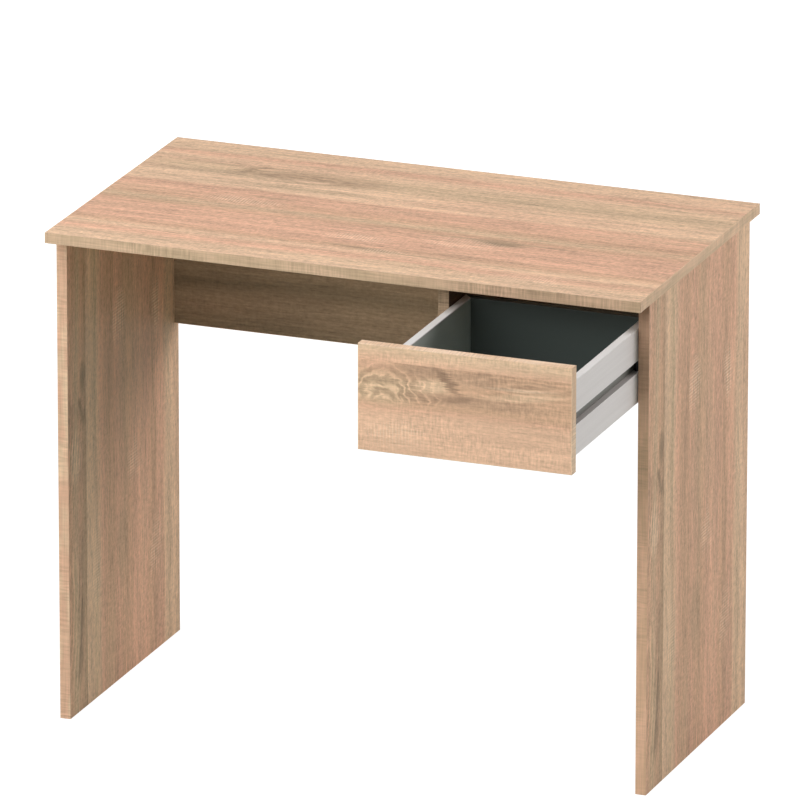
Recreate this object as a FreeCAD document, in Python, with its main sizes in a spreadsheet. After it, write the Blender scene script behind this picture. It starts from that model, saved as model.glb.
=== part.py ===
import FreeCAD, Part
import os
import re

import Sketcher

# Computer desk of laminated board: a top on two side panels, a back panel, a short divider
# and one drawer of hollow plastic profile that slides on plastic runners.
# X runs to the right, Y to the rear and Z up. The origin is on the floor, under the middle of the top.
# The drawer stands open.

# Driving sizes, in millimetres
SIZES = {
    # The whole desk
    "desk_width": 900.0,
    "desk_depth": 500.0,
    "desk_height": 745.0,
    "board": 16.0,
    "band": 1.0,
    "band_round": 0.6,
    "side_overhang": 1.0,
    "front_overhang": 40.0,
    "rear_overhang": 40.0,
    "back_height": 250.0,
    # Drawer bay and drawer front
    "bay_width": 284.0,
    "front_width": 317.0,
    "front_height": 155.0,
    "front_reveal": 2.5,
    "front_gap": 1.5,
    "drawer_hold": 63.0,
    # Drawer box, made of one hollow profile
    "box_length": 350.0,
    "box_height": 110.0,
    "box_drop": 35.5,
    "box_clearance": 1.5,
    "profile_width": 12.0,
    "profile_wall": 1.5,
    "profile_round": 1.0,
    "groove_height": 17.6,
    "groove_depth": 9.0,
    "groove_rise": 45.0,
    "slot_rise": 8.0,
    "slot_depth": 6.0,
    "sheet": 3.0,
    "sheet_play": 0.3,
    # Plugs and corner inserts inside the profile
    "plug_length": 30.0,
    "plug_height": 28.0,
    "plug_base": 3.0,
    "plug_arm": 7.0,
    "plug_play": 0.2,
    "insert_leg": 34.0,
    # Runners
    "runner_shortfall": 40.0,
    "runner_height": 16.8,
    "runner_thickness": 9.5,
    "runner_inset": 7.0,
    "runner_play": 0.3,
    "runner_round": 4.0,
    "runner_wall": 2.2,
    "runner_seat": 4.0,
    "runner_boss": 13.0,
    "runner_screw_inset": 30.0,
    # Wood screws
    "screw_length": 16.0,
    "screw_diameter": 3.4,
    "screw_point": 4.0,
    "screw_tip_diameter": 0.6,
    "screw_head_diameter": 7.0,
    "screw_head_height": 2.2,
    "screw_play": 0.1,
    "screw_head_play": 0.4,
    "pilot_spare": 0.5,
    # Cam locks with their bolts and caps
    "cam_diameter": 15.0,
    "cam_height": 12.5,
    "cam_setback": 24.0,
    "cam_inset": 70.0,
    "cam_play": 0.2,
    "cam_cavity_play": 0.4,
    "cam_cavity_depth": 3.5,
    "cross_length": 9.0,
    "cross_width": 1.6,
    "cross_depth": 2.4,
    "bolt_head_diameter": 6.4,
    "bolt_head_length": 4.0,
    "bolt_neck_diameter": 3.6,
    "bolt_neck_length": 4.0,
    "bolt_shank_diameter": 6.6,
    "bolt_thread_diameter": 4.8,
    "bolt_thread_length": 11.0,
    "bolt_play": 0.1,
    "bolt_spare": 0.5,
    "bore_play": 0.4,
    "cap_diameter": 18.0,
    "cap_thickness": 1.2,
    "cap_bevel": 0.5,
    "back_cam_inset": 50.0,
    # Dowels
    "dowel_diameter": 8.0,
    "dowel_face_length": 12.0,
    "dowel_edge_length": 18.0,
    "dowel_play": 0.1,
    "dowel_spare": 0.5,
    "dowel_inset": 38.0,
    "back_dowel_step": 250.0,
    "divider_dowel_step": 45.0,
    # How far a cutting tool runs past the face that it leaves through
    "overrun": 5.0,
}

# Places and lengths that follow from the driving sizes
PLACES = {
    "top_underside": "desk_height - board",
    "panel_front": "-desk_depth / 2 + front_overhang",
    "panel_rear": "desk_depth / 2 - rear_overhang",
    "panel_outer": "desk_width / 2 - side_overhang",
    "panel_inner": "panel_outer - board",
    "panel_mid": "panel_outer - board / 2",
    "panel_core": "panel_rear - panel_front - 2 * band",
    "back_front": "panel_rear - board",
    "back_mid": "panel_rear - board / 2",
    "back_bottom": "top_underside - back_height",
    "back_core": "back_height - band",
    "divider_right": "panel_inner - bay_width",
    "divider_left": "divider_right - board",
    "divider_mid": "divider_right - board / 2",
    "divider_core": "back_front - panel_front - band",
    "front_top": "top_underside - front_gap",
    "front_bottom": "front_top - front_height",
    "front_right": "panel_outer - front_reveal",
    "front_left": "front_right - front_width",
    "drawer_opening": "box_length - drawer_hold",
    "front_back": "panel_front - drawer_opening",
    "front_face": "front_back - board",
    "front_core": "front_height - 2 * band",
    "divider_rise": "top_underside - front_bottom - band",
    "box_bottom": "front_top - box_drop - box_height",
    "box_left": "divider_right + box_clearance",
    "box_right": "panel_inner - box_clearance",
    "box_width": "box_right - box_left",
    "box_mid": "(divider_right + panel_inner) / 2",
    "box_rear": "front_back + box_length",
    "slot_height": "sheet + sheet_play",
    "slot_top": "slot_rise + slot_height",
    "slot_land": "profile_width - slot_depth",
    "groove_top": "groove_rise + groove_height",
    "lower_chamber_mid": "(slot_top + groove_rise) / 2",
    "upper_chamber_mid": "(groove_top + box_height) / 2",
    "plug_edge": "profile_wall + plug_play",
    "plug_width": "profile_width - 2 * plug_edge",
    "runner_length": "box_length - runner_shortfall",
    "runner_bottom": "box_bottom + groove_top - runner_play - runner_height",
    "runner_mid": "runner_bottom + runner_height / 2",
    "runner_front": "panel_front + runner_inset",
    "cam_level": "top_underside - cam_setback",
    "cam_front": "panel_front + cam_inset",
    "cam_rear": "panel_rear - cam_inset",
    "dowel_front": "panel_front + dowel_inset",
    "dowel_rear": "panel_rear - dowel_inset",
    "back_cam_side": "panel_inner - cam_setback",
    "back_cam_upper": "top_underside - back_cam_inset",
    "back_cam_lower": "back_bottom + back_cam_inset",
    "back_dowel_level": "(top_underside + back_bottom) / 2",
    "divider_cam_rear": "back_front - cam_setback",
    "divider_cam_level": "(top_underside + front_bottom) / 2",
    "divider_dowel_upper": "divider_cam_level + divider_dowel_step",
    "divider_dowel_lower": "divider_cam_level - divider_dowel_step",
    "cam_pocket_radius": "cam_diameter / 2 + cam_play",
    "cam_pocket_depth": "cam_height + cam_play",
    "bolt_hole_radius": "bolt_thread_diameter / 2 + bolt_play",
    "bolt_hole_depth": "bolt_thread_length + bolt_spare",
    "bore_radius": "bolt_shank_diameter / 2 + bore_play",
    "dowel_hole_radius": "dowel_diameter / 2 + dowel_play",
    "dowel_face_depth": "dowel_face_length + dowel_spare",
    "dowel_edge_depth": "dowel_edge_length + dowel_spare",
    "screw_hole_radius": "screw_diameter / 2 + screw_play",
    "screw_head_radius": "screw_head_diameter / 2 + screw_head_play",
    "runner_pilot_depth": "screw_length - runner_seat + pilot_spare",
    "plug_pilot_depth": "screw_length - plug_base + pilot_spare",
}

# Two coordinates closer than this are one place
SAME_PLACE = 0.001

# Cubic millimetres in a cubic centimetre
CUBIC_CENTIMETRE = 1000.0

LEFT = FreeCAD.Vector(-1, 0, 0)
RIGHT = FreeCAD.Vector(1, 0, 0)
REAR = FreeCAD.Vector(0, 1, 0)
UP = FreeCAD.Vector(0, 0, 1)
NO_TURN = FreeCAD.Rotation()
QUARTER_TURN = FreeCAD.Rotation(UP, 90)
FLIPPED = FreeCAD.Rotation(REAR, 180)

WORD = re.compile(r"[a-z]+(?:_[a-z]+)*")

doc = FreeCAD.newDocument("ComputerDesk")
nodes = []


def fill_sheet(name, rows):
    """A sheet with one named cell for each row."""
    sheet = doc.addObject("Spreadsheet::Sheet", name)
    for number, (word, content) in enumerate(rows, start=1):
        sheet.set("A%d" % number, word)
        sheet.set("B%d" % number, content)
        sheet.setAlias("B%d" % number, word)
    doc.recompute()
    return sheet


def place_cell(text):
    """The cell text of a place, whose words are driving sizes or places of the same sheet."""
    return "=" + WORD.sub(lambda m: "Sizes." + m.group() if m.group() in SIZES else m.group(), text)


sizes_sheet = fill_sheet("Sizes", [(word, str(size)) for word, size in SIZES.items()])
places_sheet = fill_sheet("Places", [(word, place_cell(text)) for word, text in PLACES.items()])


def formula(text):
    """A formula whose words refer to the two sheets."""
    return WORD.sub(lambda m: ("Sizes." if m.group() in SIZES else "Places.") + m.group(), text)


def value(text):
    """The number that a formula gives now."""
    return float(sizes_sheet.evalExpression(formula(text)))


def bind(thing, prop, text):
    """Tie one property of an object to a formula."""
    thing.setExpression(prop, formula(text))


def put(thing, x, y, z):
    """Tie the place of an object to three formulas."""
    for axis, text in zip("xyz", (x, y, z)):
        bind(thing, "Placement.Base." + axis, text)


def keep(thing, label):
    """Name a finished sub-part, which is written to a file of that name."""
    thing.Label = label
    nodes.append(thing)
    return thing


def new_body(name):
    """An empty body."""
    return doc.addObject("PartDesign::Body", name)


def add_box(body, name, length, width, height, corner=("0", "0", "0"), cut=False):
    """A block with its lowest corner at the given place, added to the body or cut from it."""
    kind = "PartDesign::SubtractiveBox" if cut else "PartDesign::AdditiveBox"
    block = body.newObject(kind, name)
    bind(block, "Length", length)
    bind(block, "Width", width)
    bind(block, "Height", height)
    put(block, *corner)
    doc.recompute()


def add_cylinder(body, name, radius, height, base=("0", "0", "0"), along=UP, cut=False):
    """A cylinder that starts at the given place, added to the body or cut from it."""
    kind = "PartDesign::SubtractiveCylinder" if cut else "PartDesign::AdditiveCylinder"
    rod = body.newObject(kind, name)
    rod.Placement = FreeCAD.Placement(FreeCAD.Vector(), FreeCAD.Rotation(UP, along))
    bind(rod, "Radius", radius)
    bind(rod, "Height", height)
    put(rod, *base)
    doc.recompute()


def add_cone(body, name, low_radius, high_radius, height, base=("0", "0", "0")):
    """An upright cone with its point cut off, added to the body."""
    cone = body.newObject("PartDesign::AdditiveCone", name)
    bind(cone, "Radius1", low_radius)
    bind(cone, "Radius2", high_radius)
    bind(cone, "Height", height)
    put(cone, *base)
    doc.recompute()


def new_sketch(body, name, role, offset="0"):
    """A sketch on an origin plane of the body, moved along the plane's normal."""
    sketch = body.newObject("Sketcher::SketchObject", name)
    plane = [feature for feature in body.Origin.OriginFeatures if feature.Role == role][0]
    sketch.AttachmentSupport = [(plane, "")]
    sketch.MapMode = "FlatFace"
    bind(sketch, "AttachmentOffset.Base.z", offset)
    return sketch


def fix_point(sketch, geometry, end, across, up):
    """Tie a point of the sketch to two formulas, each measured from the sketch's origin."""
    for kind, axis, text in (("DistanceX", -2, across), ("DistanceY", -1, up)):
        if text == "0":
            sketch.addConstraint(Sketcher.Constraint("PointOnObject", geometry, end, axis))
            continue
        index = sketch.addConstraint(Sketcher.Constraint(kind, -1, 1, geometry, end, value(text)))
        bind(sketch, "Constraints[%d]" % index, text)


def draw_outline(sketch, corners):
    """A closed outline of straight lines through corners given as pairs of formulas."""
    points = [FreeCAD.Vector(value(across), value(up), 0) for across, up in corners]
    first = sketch.GeometryCount
    for start, end in zip(points, points[1:] + points[:1]):
        sketch.addGeometry(Part.LineSegment(start, end), False)
    for number in range(len(points)):
        following = first + (number + 1) % len(points)
        sketch.addConstraint(Sketcher.Constraint("Coincident", first + number, 2, following, 1))
    for number, (across, up) in enumerate(corners):
        fix_point(sketch, first + number, 1, across, up)


def draw_rectangle(sketch, left, right, low, high):
    """A rectangle between two pairs of formulas."""
    draw_outline(sketch, [(left, low), (right, low), (right, high), (left, high)])


def draw_circles(sketch, places, radius):
    """A circle of one radius at each place."""
    for across, up in places:
        centre = FreeCAD.Vector(value(across), value(up), 0)
        circle = sketch.addGeometry(Part.Circle(centre, UP, value(radius)), False)
        fix_point(sketch, circle, 3, across, up)
        index = sketch.addConstraint(Sketcher.Constraint("Radius", circle, value(radius)))
        bind(sketch, "Constraints[%d]" % index, radius)


def pad(body, sketch, name, length, turned=False):
    """Extrude a sketch along its normal, or against it if turned."""
    feature = body.newObject("PartDesign::Pad", name)
    feature.Profile = sketch
    feature.Reversed = turned
    bind(feature, "Length", length)
    doc.recompute()


def pocket(body, sketch, name, depth, turned=False):
    """Cut a sketch into the body against its normal, or along it if turned, and see that it cut."""
    before = body.Shape.Volume
    feature = body.newObject("PartDesign::Pocket", name)
    feature.Profile = sketch
    feature.Reversed = turned
    bind(feature, "Length", depth)
    doc.recompute()
    if not body.Shape.Volume < before:
        raise ValueError(name + " cuts nothing")


def drill(body, name, role, face, places, radius, depth, turned=False):
    """Blind holes of one size from a face of the body."""
    sketch = new_sketch(body, name + "_sketch", role, face)
    draw_circles(sketch, places, radius)
    pocket(body, sketch, name, depth, turned)


def lies_on(edge, axis, where):
    """Whether an edge lies in the plane where one coordinate has the given value."""
    low = getattr(edge.BoundBox, axis + "Min")
    high = getattr(edge.BoundBox, axis + "Max")
    return abs(low - where) < SAME_PLACE and abs(high - where) < SAME_PLACE


def round_edges(body, name, radius, wanted):
    """Round the edges of the body's last feature that the wanted function accepts."""
    base = body.Tip
    numbered = enumerate(base.Shape.Edges, start=1)
    picked = ["Edge%d" % number for number, edge in numbered if wanted(edge)]
    feature = body.newObject("PartDesign::Fillet", name)
    feature.Base = (base, picked)
    bind(feature, "Radius", radius)
    doc.recompute()


def edge_band(label, size, corner, outer_axis, outer_place, long_axis, ends_rounded):
    """A strip glued to a board's edge, with its outer edges rounded.

    The strips that cover a corner of the board also have their outer ends rounded.
    """
    body = new_body(label)
    add_box(body, label + "_strip", *size)
    outer = value(outer_place)
    ends = (0, value(size["XYZ".index(long_axis)]))

    def wanted(edge):
        at_end = any(lies_on(edge, long_axis, end) for end in ends)
        return lies_on(edge, outer_axis, outer) and (ends_rounded or not at_end)

    round_edges(body, label + "_round", "band_round", wanted)
    put(body, *corner)
    return keep(body, label)


def mirrored(source, label):
    """The mirror image of a body on the other side of the drawer bay."""
    image = doc.addObject("Part::Mirroring", label)
    image.Source = source
    image.Normal = RIGHT
    bind(image, "Base.x", "box_mid")
    doc.recompute()
    return keep(image, label)


def copies(master, label, places):
    """A group of separate copies of one body, each at its own place and turn."""
    links = []
    for number, (x, y, z, turn) in enumerate(places, start=1):
        link = doc.addObject("App::Link", "%s_%d" % (label, number))
        link.LinkedObject = master
        link.Placement = FreeCAD.Placement(FreeCAD.Vector(), turn)
        put(link, x, y, z)
        links.append(link)
    group = doc.addObject("Part::Compound", label)
    group.Links = links
    doc.recompute()
    return keep(group, label)


# Board joints

# Cam locks: the place on the board's middle layer where the lock turns, the way that its face looks
# and the way that its bolt runs
CAM_JOINTS = [
    ("-panel_mid", "cam_front", "cam_level", RIGHT, UP),
    ("-panel_mid", "cam_rear", "cam_level", RIGHT, UP),
    ("panel_mid", "cam_front", "cam_level", LEFT, UP),
    ("panel_mid", "cam_rear", "cam_level", LEFT, UP),
    ("divider_mid", "cam_front", "cam_level", RIGHT, UP),
    ("divider_mid", "cam_rear", "cam_level", RIGHT, UP),
    ("divider_mid", "divider_cam_rear", "divider_cam_level", RIGHT, REAR),
    ("-back_cam_side", "back_mid", "back_cam_upper", REAR, LEFT),
    ("-back_cam_side", "back_mid", "back_cam_lower", REAR, LEFT),
    ("back_cam_side", "back_mid", "back_cam_upper", REAR, RIGHT),
    ("back_cam_side", "back_mid", "back_cam_lower", REAR, RIGHT),
]

# Dowels: the place where they cross from one board to the other and the way into the second board
DOWEL_JOINTS = [
    ("-panel_mid", "dowel_front", "top_underside", UP),
    ("-panel_mid", "dowel_rear", "top_underside", UP),
    ("panel_mid", "dowel_front", "top_underside", UP),
    ("panel_mid", "dowel_rear", "top_underside", UP),
    ("divider_mid", "dowel_front", "top_underside", UP),
    ("divider_mid", "dowel_rear", "top_underside", UP),
    ("-back_dowel_step", "back_mid", "top_underside", UP),
    ("0", "back_mid", "top_underside", UP),
    ("back_dowel_step", "back_mid", "top_underside", UP),
    ("divider_mid", "back_front", "divider_dowel_upper", REAR),
    ("divider_mid", "back_front", "divider_dowel_lower", REAR),
    ("-panel_inner", "back_mid", "back_dowel_level", LEFT),
    ("panel_inner", "back_mid", "back_dowel_level", RIGHT),
]

# Runner screws, from the runner's front end
RUNNER_SCREWS = ["runner_screw_inset", "runner_length / 2", "runner_length - runner_screw_inset"]

# Drawer plugs: the middles of the two chambers of the profile
CHAMBER_MIDS = ["lower_chamber_mid", "upper_chamber_mid"]


# Top

top = new_body("top_panel")
add_box(top, "top_core", "desk_width - 2 * band", "desk_depth - 2 * band", "board")


def on_top(x, y):
    """A place on the underside of the top, measured from the core's corner."""
    return (x + " + desk_width / 2 - band", y + " + desk_depth / 2 - band")


drill(top, "top_bolt_holes", "XY_Plane", "0",
      [on_top(x, y) for x, y, z, face, along in CAM_JOINTS if along == UP],
      "bolt_hole_radius", "bolt_hole_depth", turned=True)
drill(top, "top_dowel_holes", "XY_Plane", "0",
      [on_top(x, y) for x, y, z, along in DOWEL_JOINTS if along == UP],
      "dowel_hole_radius", "dowel_face_depth", turned=True)
put(top, "-desk_width / 2 + band", "-desk_depth / 2 + band", "top_underside")
keep(top, "top_panel")

edge_band("top_band_front", ("desk_width", "band", "board"),
          ("-desk_width / 2", "-desk_depth / 2", "top_underside"), "Y", "0", "X", True)
edge_band("top_band_rear", ("desk_width", "band", "board"),
          ("-desk_width / 2", "desk_depth / 2 - band", "top_underside"), "Y", "band", "X", True)
edge_band("top_band_left", ("band", "desk_depth - 2 * band", "board"),
          ("-desk_width / 2", "-desk_depth / 2 + band", "top_underside"), "X", "0", "Y", False)
edge_band("top_band_right", ("band", "desk_depth - 2 * band", "board"),
          ("desk_width / 2 - band", "-desk_depth / 2 + band", "top_underside"), "X", "band", "Y", False)


# Side panels

def along_panel(y):
    """A place along a side panel or the divider, measured from the core's front edge."""
    return y + " - panel_front - band"


def side_panel(label, inner_face, corner, turned, screws):
    """A side panel drilled for the top, the back panel and, if it carries one, the runner."""
    body = new_body(label)
    add_box(body, label + "_core", "board", "panel_core", "top_underside")
    cams = [(along_panel("cam_front"), "cam_level"), (along_panel("cam_rear"), "cam_level")]
    bolts = [(along_panel("back_mid"), "back_cam_upper"), (along_panel("back_mid"), "back_cam_lower")]
    dowels = [(along_panel("back_mid"), "back_dowel_level")]
    for name, places, radius, depth in (
            ("_cams", cams, "cam_pocket_radius", "cam_pocket_depth"),
            ("_bolts", bolts, "bolt_hole_radius", "bolt_hole_depth"),
            ("_dowels", dowels, "dowel_hole_radius", "dowel_face_depth")):
        drill(body, label + name, "YZ_Plane", inner_face, places, radius, depth, turned)
    if screws:
        drill(body, label + "_screws", "YZ_Plane", inner_face,
              [(along_panel("runner_front + " + step), "runner_mid") for step in screws],
              "screw_hole_radius", "runner_pilot_depth", turned)
    drill(body, label + "_bores", "XY_Plane", "top_underside",
          [("board / 2", along_panel("cam_front")), ("board / 2", along_panel("cam_rear"))],
          "bore_radius", "cam_setback")
    drill(body, label + "_pegs", "XY_Plane", "top_underside",
          [("board / 2", along_panel("dowel_front")), ("board / 2", along_panel("dowel_rear"))],
          "dowel_hole_radius", "dowel_edge_depth")
    put(body, corner, "panel_front + band", "0")
    return keep(body, label)


side_panel("side_panel_left", "board", "-panel_outer", False, [])
side_panel("side_panel_right", "0", "panel_inner", True, RUNNER_SCREWS)
for hand, corner in (("left", "-panel_outer"), ("right", "panel_inner")):
    edge_band("side_band_front_" + hand, ("board", "band", "top_underside"),
              (corner, "panel_front", "0"), "Y", "0", "Z", False)
    edge_band("side_band_rear_" + hand, ("board", "band", "top_underside"),
              (corner, "panel_rear - band", "0"), "Y", "band", "Z", False)


# Back panel

back = new_body("back_panel")
add_box(back, "back_core_block", "2 * panel_inner", "board", "back_core")


def on_back(x, z):
    """A place on the back panel, measured from the core's lower left corner."""
    return (x + " + panel_inner", z + " - back_bottom - band")


def up_back(z):
    """A place on an end of the back panel."""
    return ("board / 2", z + " - back_bottom - band")


drill(back, "back_cams", "XZ_Plane", "-board",
      [on_back(x, z) for x, y, z, face, along in CAM_JOINTS if face == REAR],
      "cam_pocket_radius", "cam_pocket_depth", turned=True)
drill(back, "back_divider_bolt", "XZ_Plane", "0", [on_back("divider_mid", "divider_cam_level")],
      "bolt_hole_radius", "bolt_hole_depth")
drill(back, "back_divider_dowels", "XZ_Plane", "0",
      [on_back(x, z) for x, y, z, along in DOWEL_JOINTS if along == REAR],
      "dowel_hole_radius", "dowel_face_depth")
for end, plane_offset, turned in (("left", "0", True), ("right", "2 * panel_inner", False)):
    drill(back, "back_bores_" + end, "YZ_Plane", plane_offset,
          [up_back("back_cam_upper"), up_back("back_cam_lower")], "bore_radius", "cam_setback", turned)
    drill(back, "back_pegs_" + end, "YZ_Plane", plane_offset, [up_back("back_dowel_level")],
          "dowel_hole_radius", "dowel_edge_depth", turned)
drill(back, "back_top_pegs", "XY_Plane", "back_core",
      [(x + " + panel_inner", "board / 2")
       for x, y, z, along in DOWEL_JOINTS if along == UP and y == "back_mid"],
      "dowel_hole_radius", "dowel_edge_depth")
put(back, "-panel_inner", "back_front", "back_bottom + band")
keep(back, "back_panel")

edge_band("back_band_lower", ("2 * panel_inner", "board", "band"),
          ("-panel_inner", "back_front", "back_bottom"), "Z", "0", "X", False)


# Divider

divider = new_body("divider_panel")
add_box(divider, "divider_block", "board", "divider_core", "divider_rise")


def on_divider(y, z):
    """A place on the divider's face, measured from the core's lower front corner."""
    return (along_panel(y), z + " - front_bottom - band")


drill(divider, "divider_cams", "YZ_Plane", "board",
      [on_divider(y, z) for x, y, z, face, along in CAM_JOINTS if x == "divider_mid"],
      "cam_pocket_radius", "cam_pocket_depth")
drill(divider, "divider_screws", "YZ_Plane", "board",
      [on_divider("runner_front + " + step, "runner_mid") for step in RUNNER_SCREWS],
      "screw_hole_radius", "runner_pilot_depth")
drill(divider, "divider_top_bores", "XY_Plane", "divider_rise",
      [("board / 2", along_panel("cam_front")), ("board / 2", along_panel("cam_rear"))],
      "bore_radius", "cam_setback")
drill(divider, "divider_top_pegs", "XY_Plane", "divider_rise",
      [("board / 2", along_panel("dowel_front")), ("board / 2", along_panel("dowel_rear"))],
      "dowel_hole_radius", "dowel_edge_depth")
drill(divider, "divider_rear_bore", "XZ_Plane", "-divider_core",
      [("board / 2", "divider_cam_level - front_bottom - band")], "bore_radius", "cam_setback", turned=True)
drill(divider, "divider_rear_pegs", "XZ_Plane", "-divider_core",
      [("board / 2", z + " - front_bottom - band") for x, y, z, along in DOWEL_JOINTS if along == REAR],
      "dowel_hole_radius", "dowel_edge_depth", turned=True)
put(divider, "divider_left", "panel_front + band", "front_bottom + band")
keep(divider, "divider_panel")

edge_band("divider_band_front", ("board", "band", "top_underside - front_bottom"),
          ("divider_left", "panel_front", "front_bottom"), "Y", "0", "Z", False)
edge_band("divider_band_lower", ("board", "divider_core", "band"),
          ("divider_left", "panel_front + band", "front_bottom"), "Z", "0", "Y", False)


# Drawer front

front = new_body("drawer_front")
add_box(front, "front_block", "front_width - 2 * band", "board", "front_core")
add_box(front, "front_groove", "box_width - 2 * slot_land", "slot_depth + overrun", "slot_height",
        ("box_left + slot_land - front_left - band", "board - slot_depth",
         "box_bottom + slot_rise - front_bottom - band"), cut=True)
drill(front, "front_pilots", "XZ_Plane", "-board",
      [(x + " - front_left - band", "box_bottom + " + mid + " - front_bottom - band")
       for x in ("box_left + profile_width / 2", "box_right - profile_width / 2") for mid in CHAMBER_MIDS],
      "screw_hole_radius", "plug_pilot_depth", turned=True)
put(front, "front_left + band", "front_face", "front_bottom + band")
keep(front, "drawer_front")

edge_band("front_band_upper", ("front_width", "board", "band"),
          ("front_left", "front_face", "front_top - band"), "Z", "band", "X", True)
edge_band("front_band_lower", ("front_width", "board", "band"),
          ("front_left", "front_face", "front_bottom"), "Z", "0", "X", True)
edge_band("front_band_left", ("band", "board", "front_core"),
          ("front_left", "front_face", "front_bottom + band"), "X", "0", "Z", False)
edge_band("front_band_right", ("band", "board", "front_core"),
          ("front_right - band", "front_face", "front_bottom + band"), "X", "band", "Z", False)


# Drawer box of hollow profile, mitred at its rear corners

def draw_profile(sketch):
    """The section of the profile: runner groove outside, sheet slot inside, three hollow chambers."""
    draw_outline(sketch, [
        ("0", "0"),
        ("profile_width", "0"),
        ("profile_width", "groove_rise"),
        ("profile_width - groove_depth", "groove_rise"),
        ("profile_width - groove_depth", "groove_top"),
        ("profile_width", "groove_top"),
        ("profile_width", "box_height"),
        ("0", "box_height"),
        ("0", "slot_top"),
        ("slot_depth", "slot_top"),
        ("slot_depth", "slot_rise"),
        ("0", "slot_rise"),
    ])
    for low, high in (("0", "slot_rise"), ("slot_top", "groove_rise"), ("groove_top", "box_height")):
        draw_rectangle(sketch, "profile_wall", "profile_width - profile_wall",
                       low + " + profile_wall", high + " - profile_wall")


def profile_piece(name, role, length, across_axis, turned):
    """A length of profile with its four long corners rounded."""
    body = new_body(name)
    section = new_sketch(body, name + "_section", role)
    draw_profile(section)
    pad(body, section, name + "_pad", length, turned)
    wide = value("profile_width")
    tall = value("box_height")

    def wanted(edge):
        on_side = lies_on(edge, across_axis, 0) or lies_on(edge, across_axis, wide)
        return on_side and (lies_on(edge, "Z", 0) or lies_on(edge, "Z", tall))

    round_edges(body, name + "_round", "profile_round", wanted)
    return body


def mitre(body, name, corners):
    """Cut a corner off a length of profile, over its whole height."""
    sketch = new_sketch(body, name + "_sketch", "XY_Plane", "-overrun")
    draw_outline(sketch, corners)
    pocket(body, sketch, name, "box_height + 2 * overrun", turned=True)


side = profile_piece("drawer_side_right", "XZ_Plane", "box_length", "X", True)
mitre(side, "side_mitre", [
    ("-overrun", "box_length - profile_width - overrun"),
    ("profile_width + overrun", "box_length + overrun"),
    ("-overrun", "box_length + overrun"),
])
put(side, "box_right - profile_width", "front_back", "box_bottom")
keep(side, "drawer_side_right")
mirrored(side, "drawer_side_left")

rear = profile_piece("drawer_back", "YZ_Plane", "box_width", "Y", False)
mitre(rear, "rear_mitre_left", [
    ("-overrun", "-overrun"),
    ("profile_width + overrun", "-overrun"),
    ("-overrun", "profile_width + overrun"),
])
mitre(rear, "rear_mitre_right", [
    ("box_width + overrun", "-overrun"),
    ("box_width + overrun", "profile_width + overrun"),
    ("box_width - profile_width - overrun", "-overrun"),
])
put(rear, "box_left", "box_rear - profile_width", "box_bottom")
keep(rear, "drawer_back")

bottom = new_body("drawer_bottom")
add_box(bottom, "bottom_sheet", "box_width - 2 * slot_land - 2 * sheet_play",
        "box_length - slot_land + slot_depth - 2 * sheet_play", "sheet")
put(bottom, "box_left + slot_land + sheet_play", "front_back - slot_depth + sheet_play",
    "box_bottom + slot_rise")
keep(bottom, "drawer_bottom")


# Plugs that carry the drawer front and inserts in the rear corners

plug = new_body("plug")
add_box(plug, "plug_block", "plug_width", "plug_length", "plug_height",
        ("-plug_width / 2", "0", "-plug_height / 2"))
add_box(plug, "plug_fork", "plug_width + 2 * overrun", "plug_length", "plug_height - 2 * plug_arm",
        ("-plug_width / 2 - overrun", "plug_base", "-plug_height / 2 + plug_arm"), cut=True)
add_cylinder(plug, "plug_hole", "screw_hole_radius", "plug_base + 2 * overrun",
             ("0", "-overrun", "0"), REAR, cut=True)
plug_places = [(x, "box_bottom + " + mid) for mid in CHAMBER_MIDS
               for x in ("box_left + profile_width / 2", "box_right - profile_width / 2")]
copies(plug, "drawer_plugs", [(x, "front_back", z, NO_TURN) for x, z in plug_places])

insert = new_body("insert")
insert_sketch = new_sketch(insert, "insert_outline", "XY_Plane", "-plug_height / 2")
draw_outline(insert_sketch, [
    ("-plug_edge", "-plug_edge"),
    ("-insert_leg", "-plug_edge"),
    ("-insert_leg", "-plug_edge - plug_width"),
    ("-plug_edge - plug_width", "-plug_edge - plug_width"),
    ("-plug_edge - plug_width", "-insert_leg"),
    ("-plug_edge", "-insert_leg"),
])
pad(insert, insert_sketch, "insert_pad", "plug_height")
copies(insert, "drawer_corner_inserts",
       [(x, "box_rear", "box_bottom + " + mid, turn) for mid in CHAMBER_MIDS
        for x, turn in (("box_left", FLIPPED), ("box_right", NO_TURN))])


# Runners

runner = new_body("runner_right")
add_box(runner, "runner_bar", "runner_length", "runner_thickness", "runner_height")


def runner_end(edge):
    """The upright edges at the two ends of the runner, on the side that enters the groove."""
    at_end = lies_on(edge, "X", 0) or lies_on(edge, "X", value("runner_length"))
    return at_end and lies_on(edge, "Y", value("runner_thickness"))


round_edges(runner, "runner_lead_in", "runner_round", runner_end)
for name, start, end in zip(("front", "rear"), RUNNER_SCREWS[:-1], RUNNER_SCREWS[1:]):
    add_box(runner, "runner_hollow_" + name, end + " - (" + start + ") - runner_boss",
            "runner_thickness - runner_wall + overrun", "runner_height - 2 * runner_wall",
            (start + " + runner_boss / 2", "-overrun", "runner_wall"), cut=True)
runner_holes = [(step, "runner_height / 2") for step in RUNNER_SCREWS]
drill(runner, "runner_counterbores", "XZ_Plane", "-runner_thickness", runner_holes,
      "screw_head_radius", "runner_thickness - runner_seat", turned=True)
drill(runner, "runner_holes", "XZ_Plane", "-runner_thickness", runner_holes,
      "screw_hole_radius", "runner_thickness + overrun", turned=True)
runner.Placement = FreeCAD.Placement(FreeCAD.Vector(), QUARTER_TURN)
put(runner, "panel_inner", "runner_front", "runner_bottom")
keep(runner, "runner_right")
mirrored(runner, "runner_left")


# Screws

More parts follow.
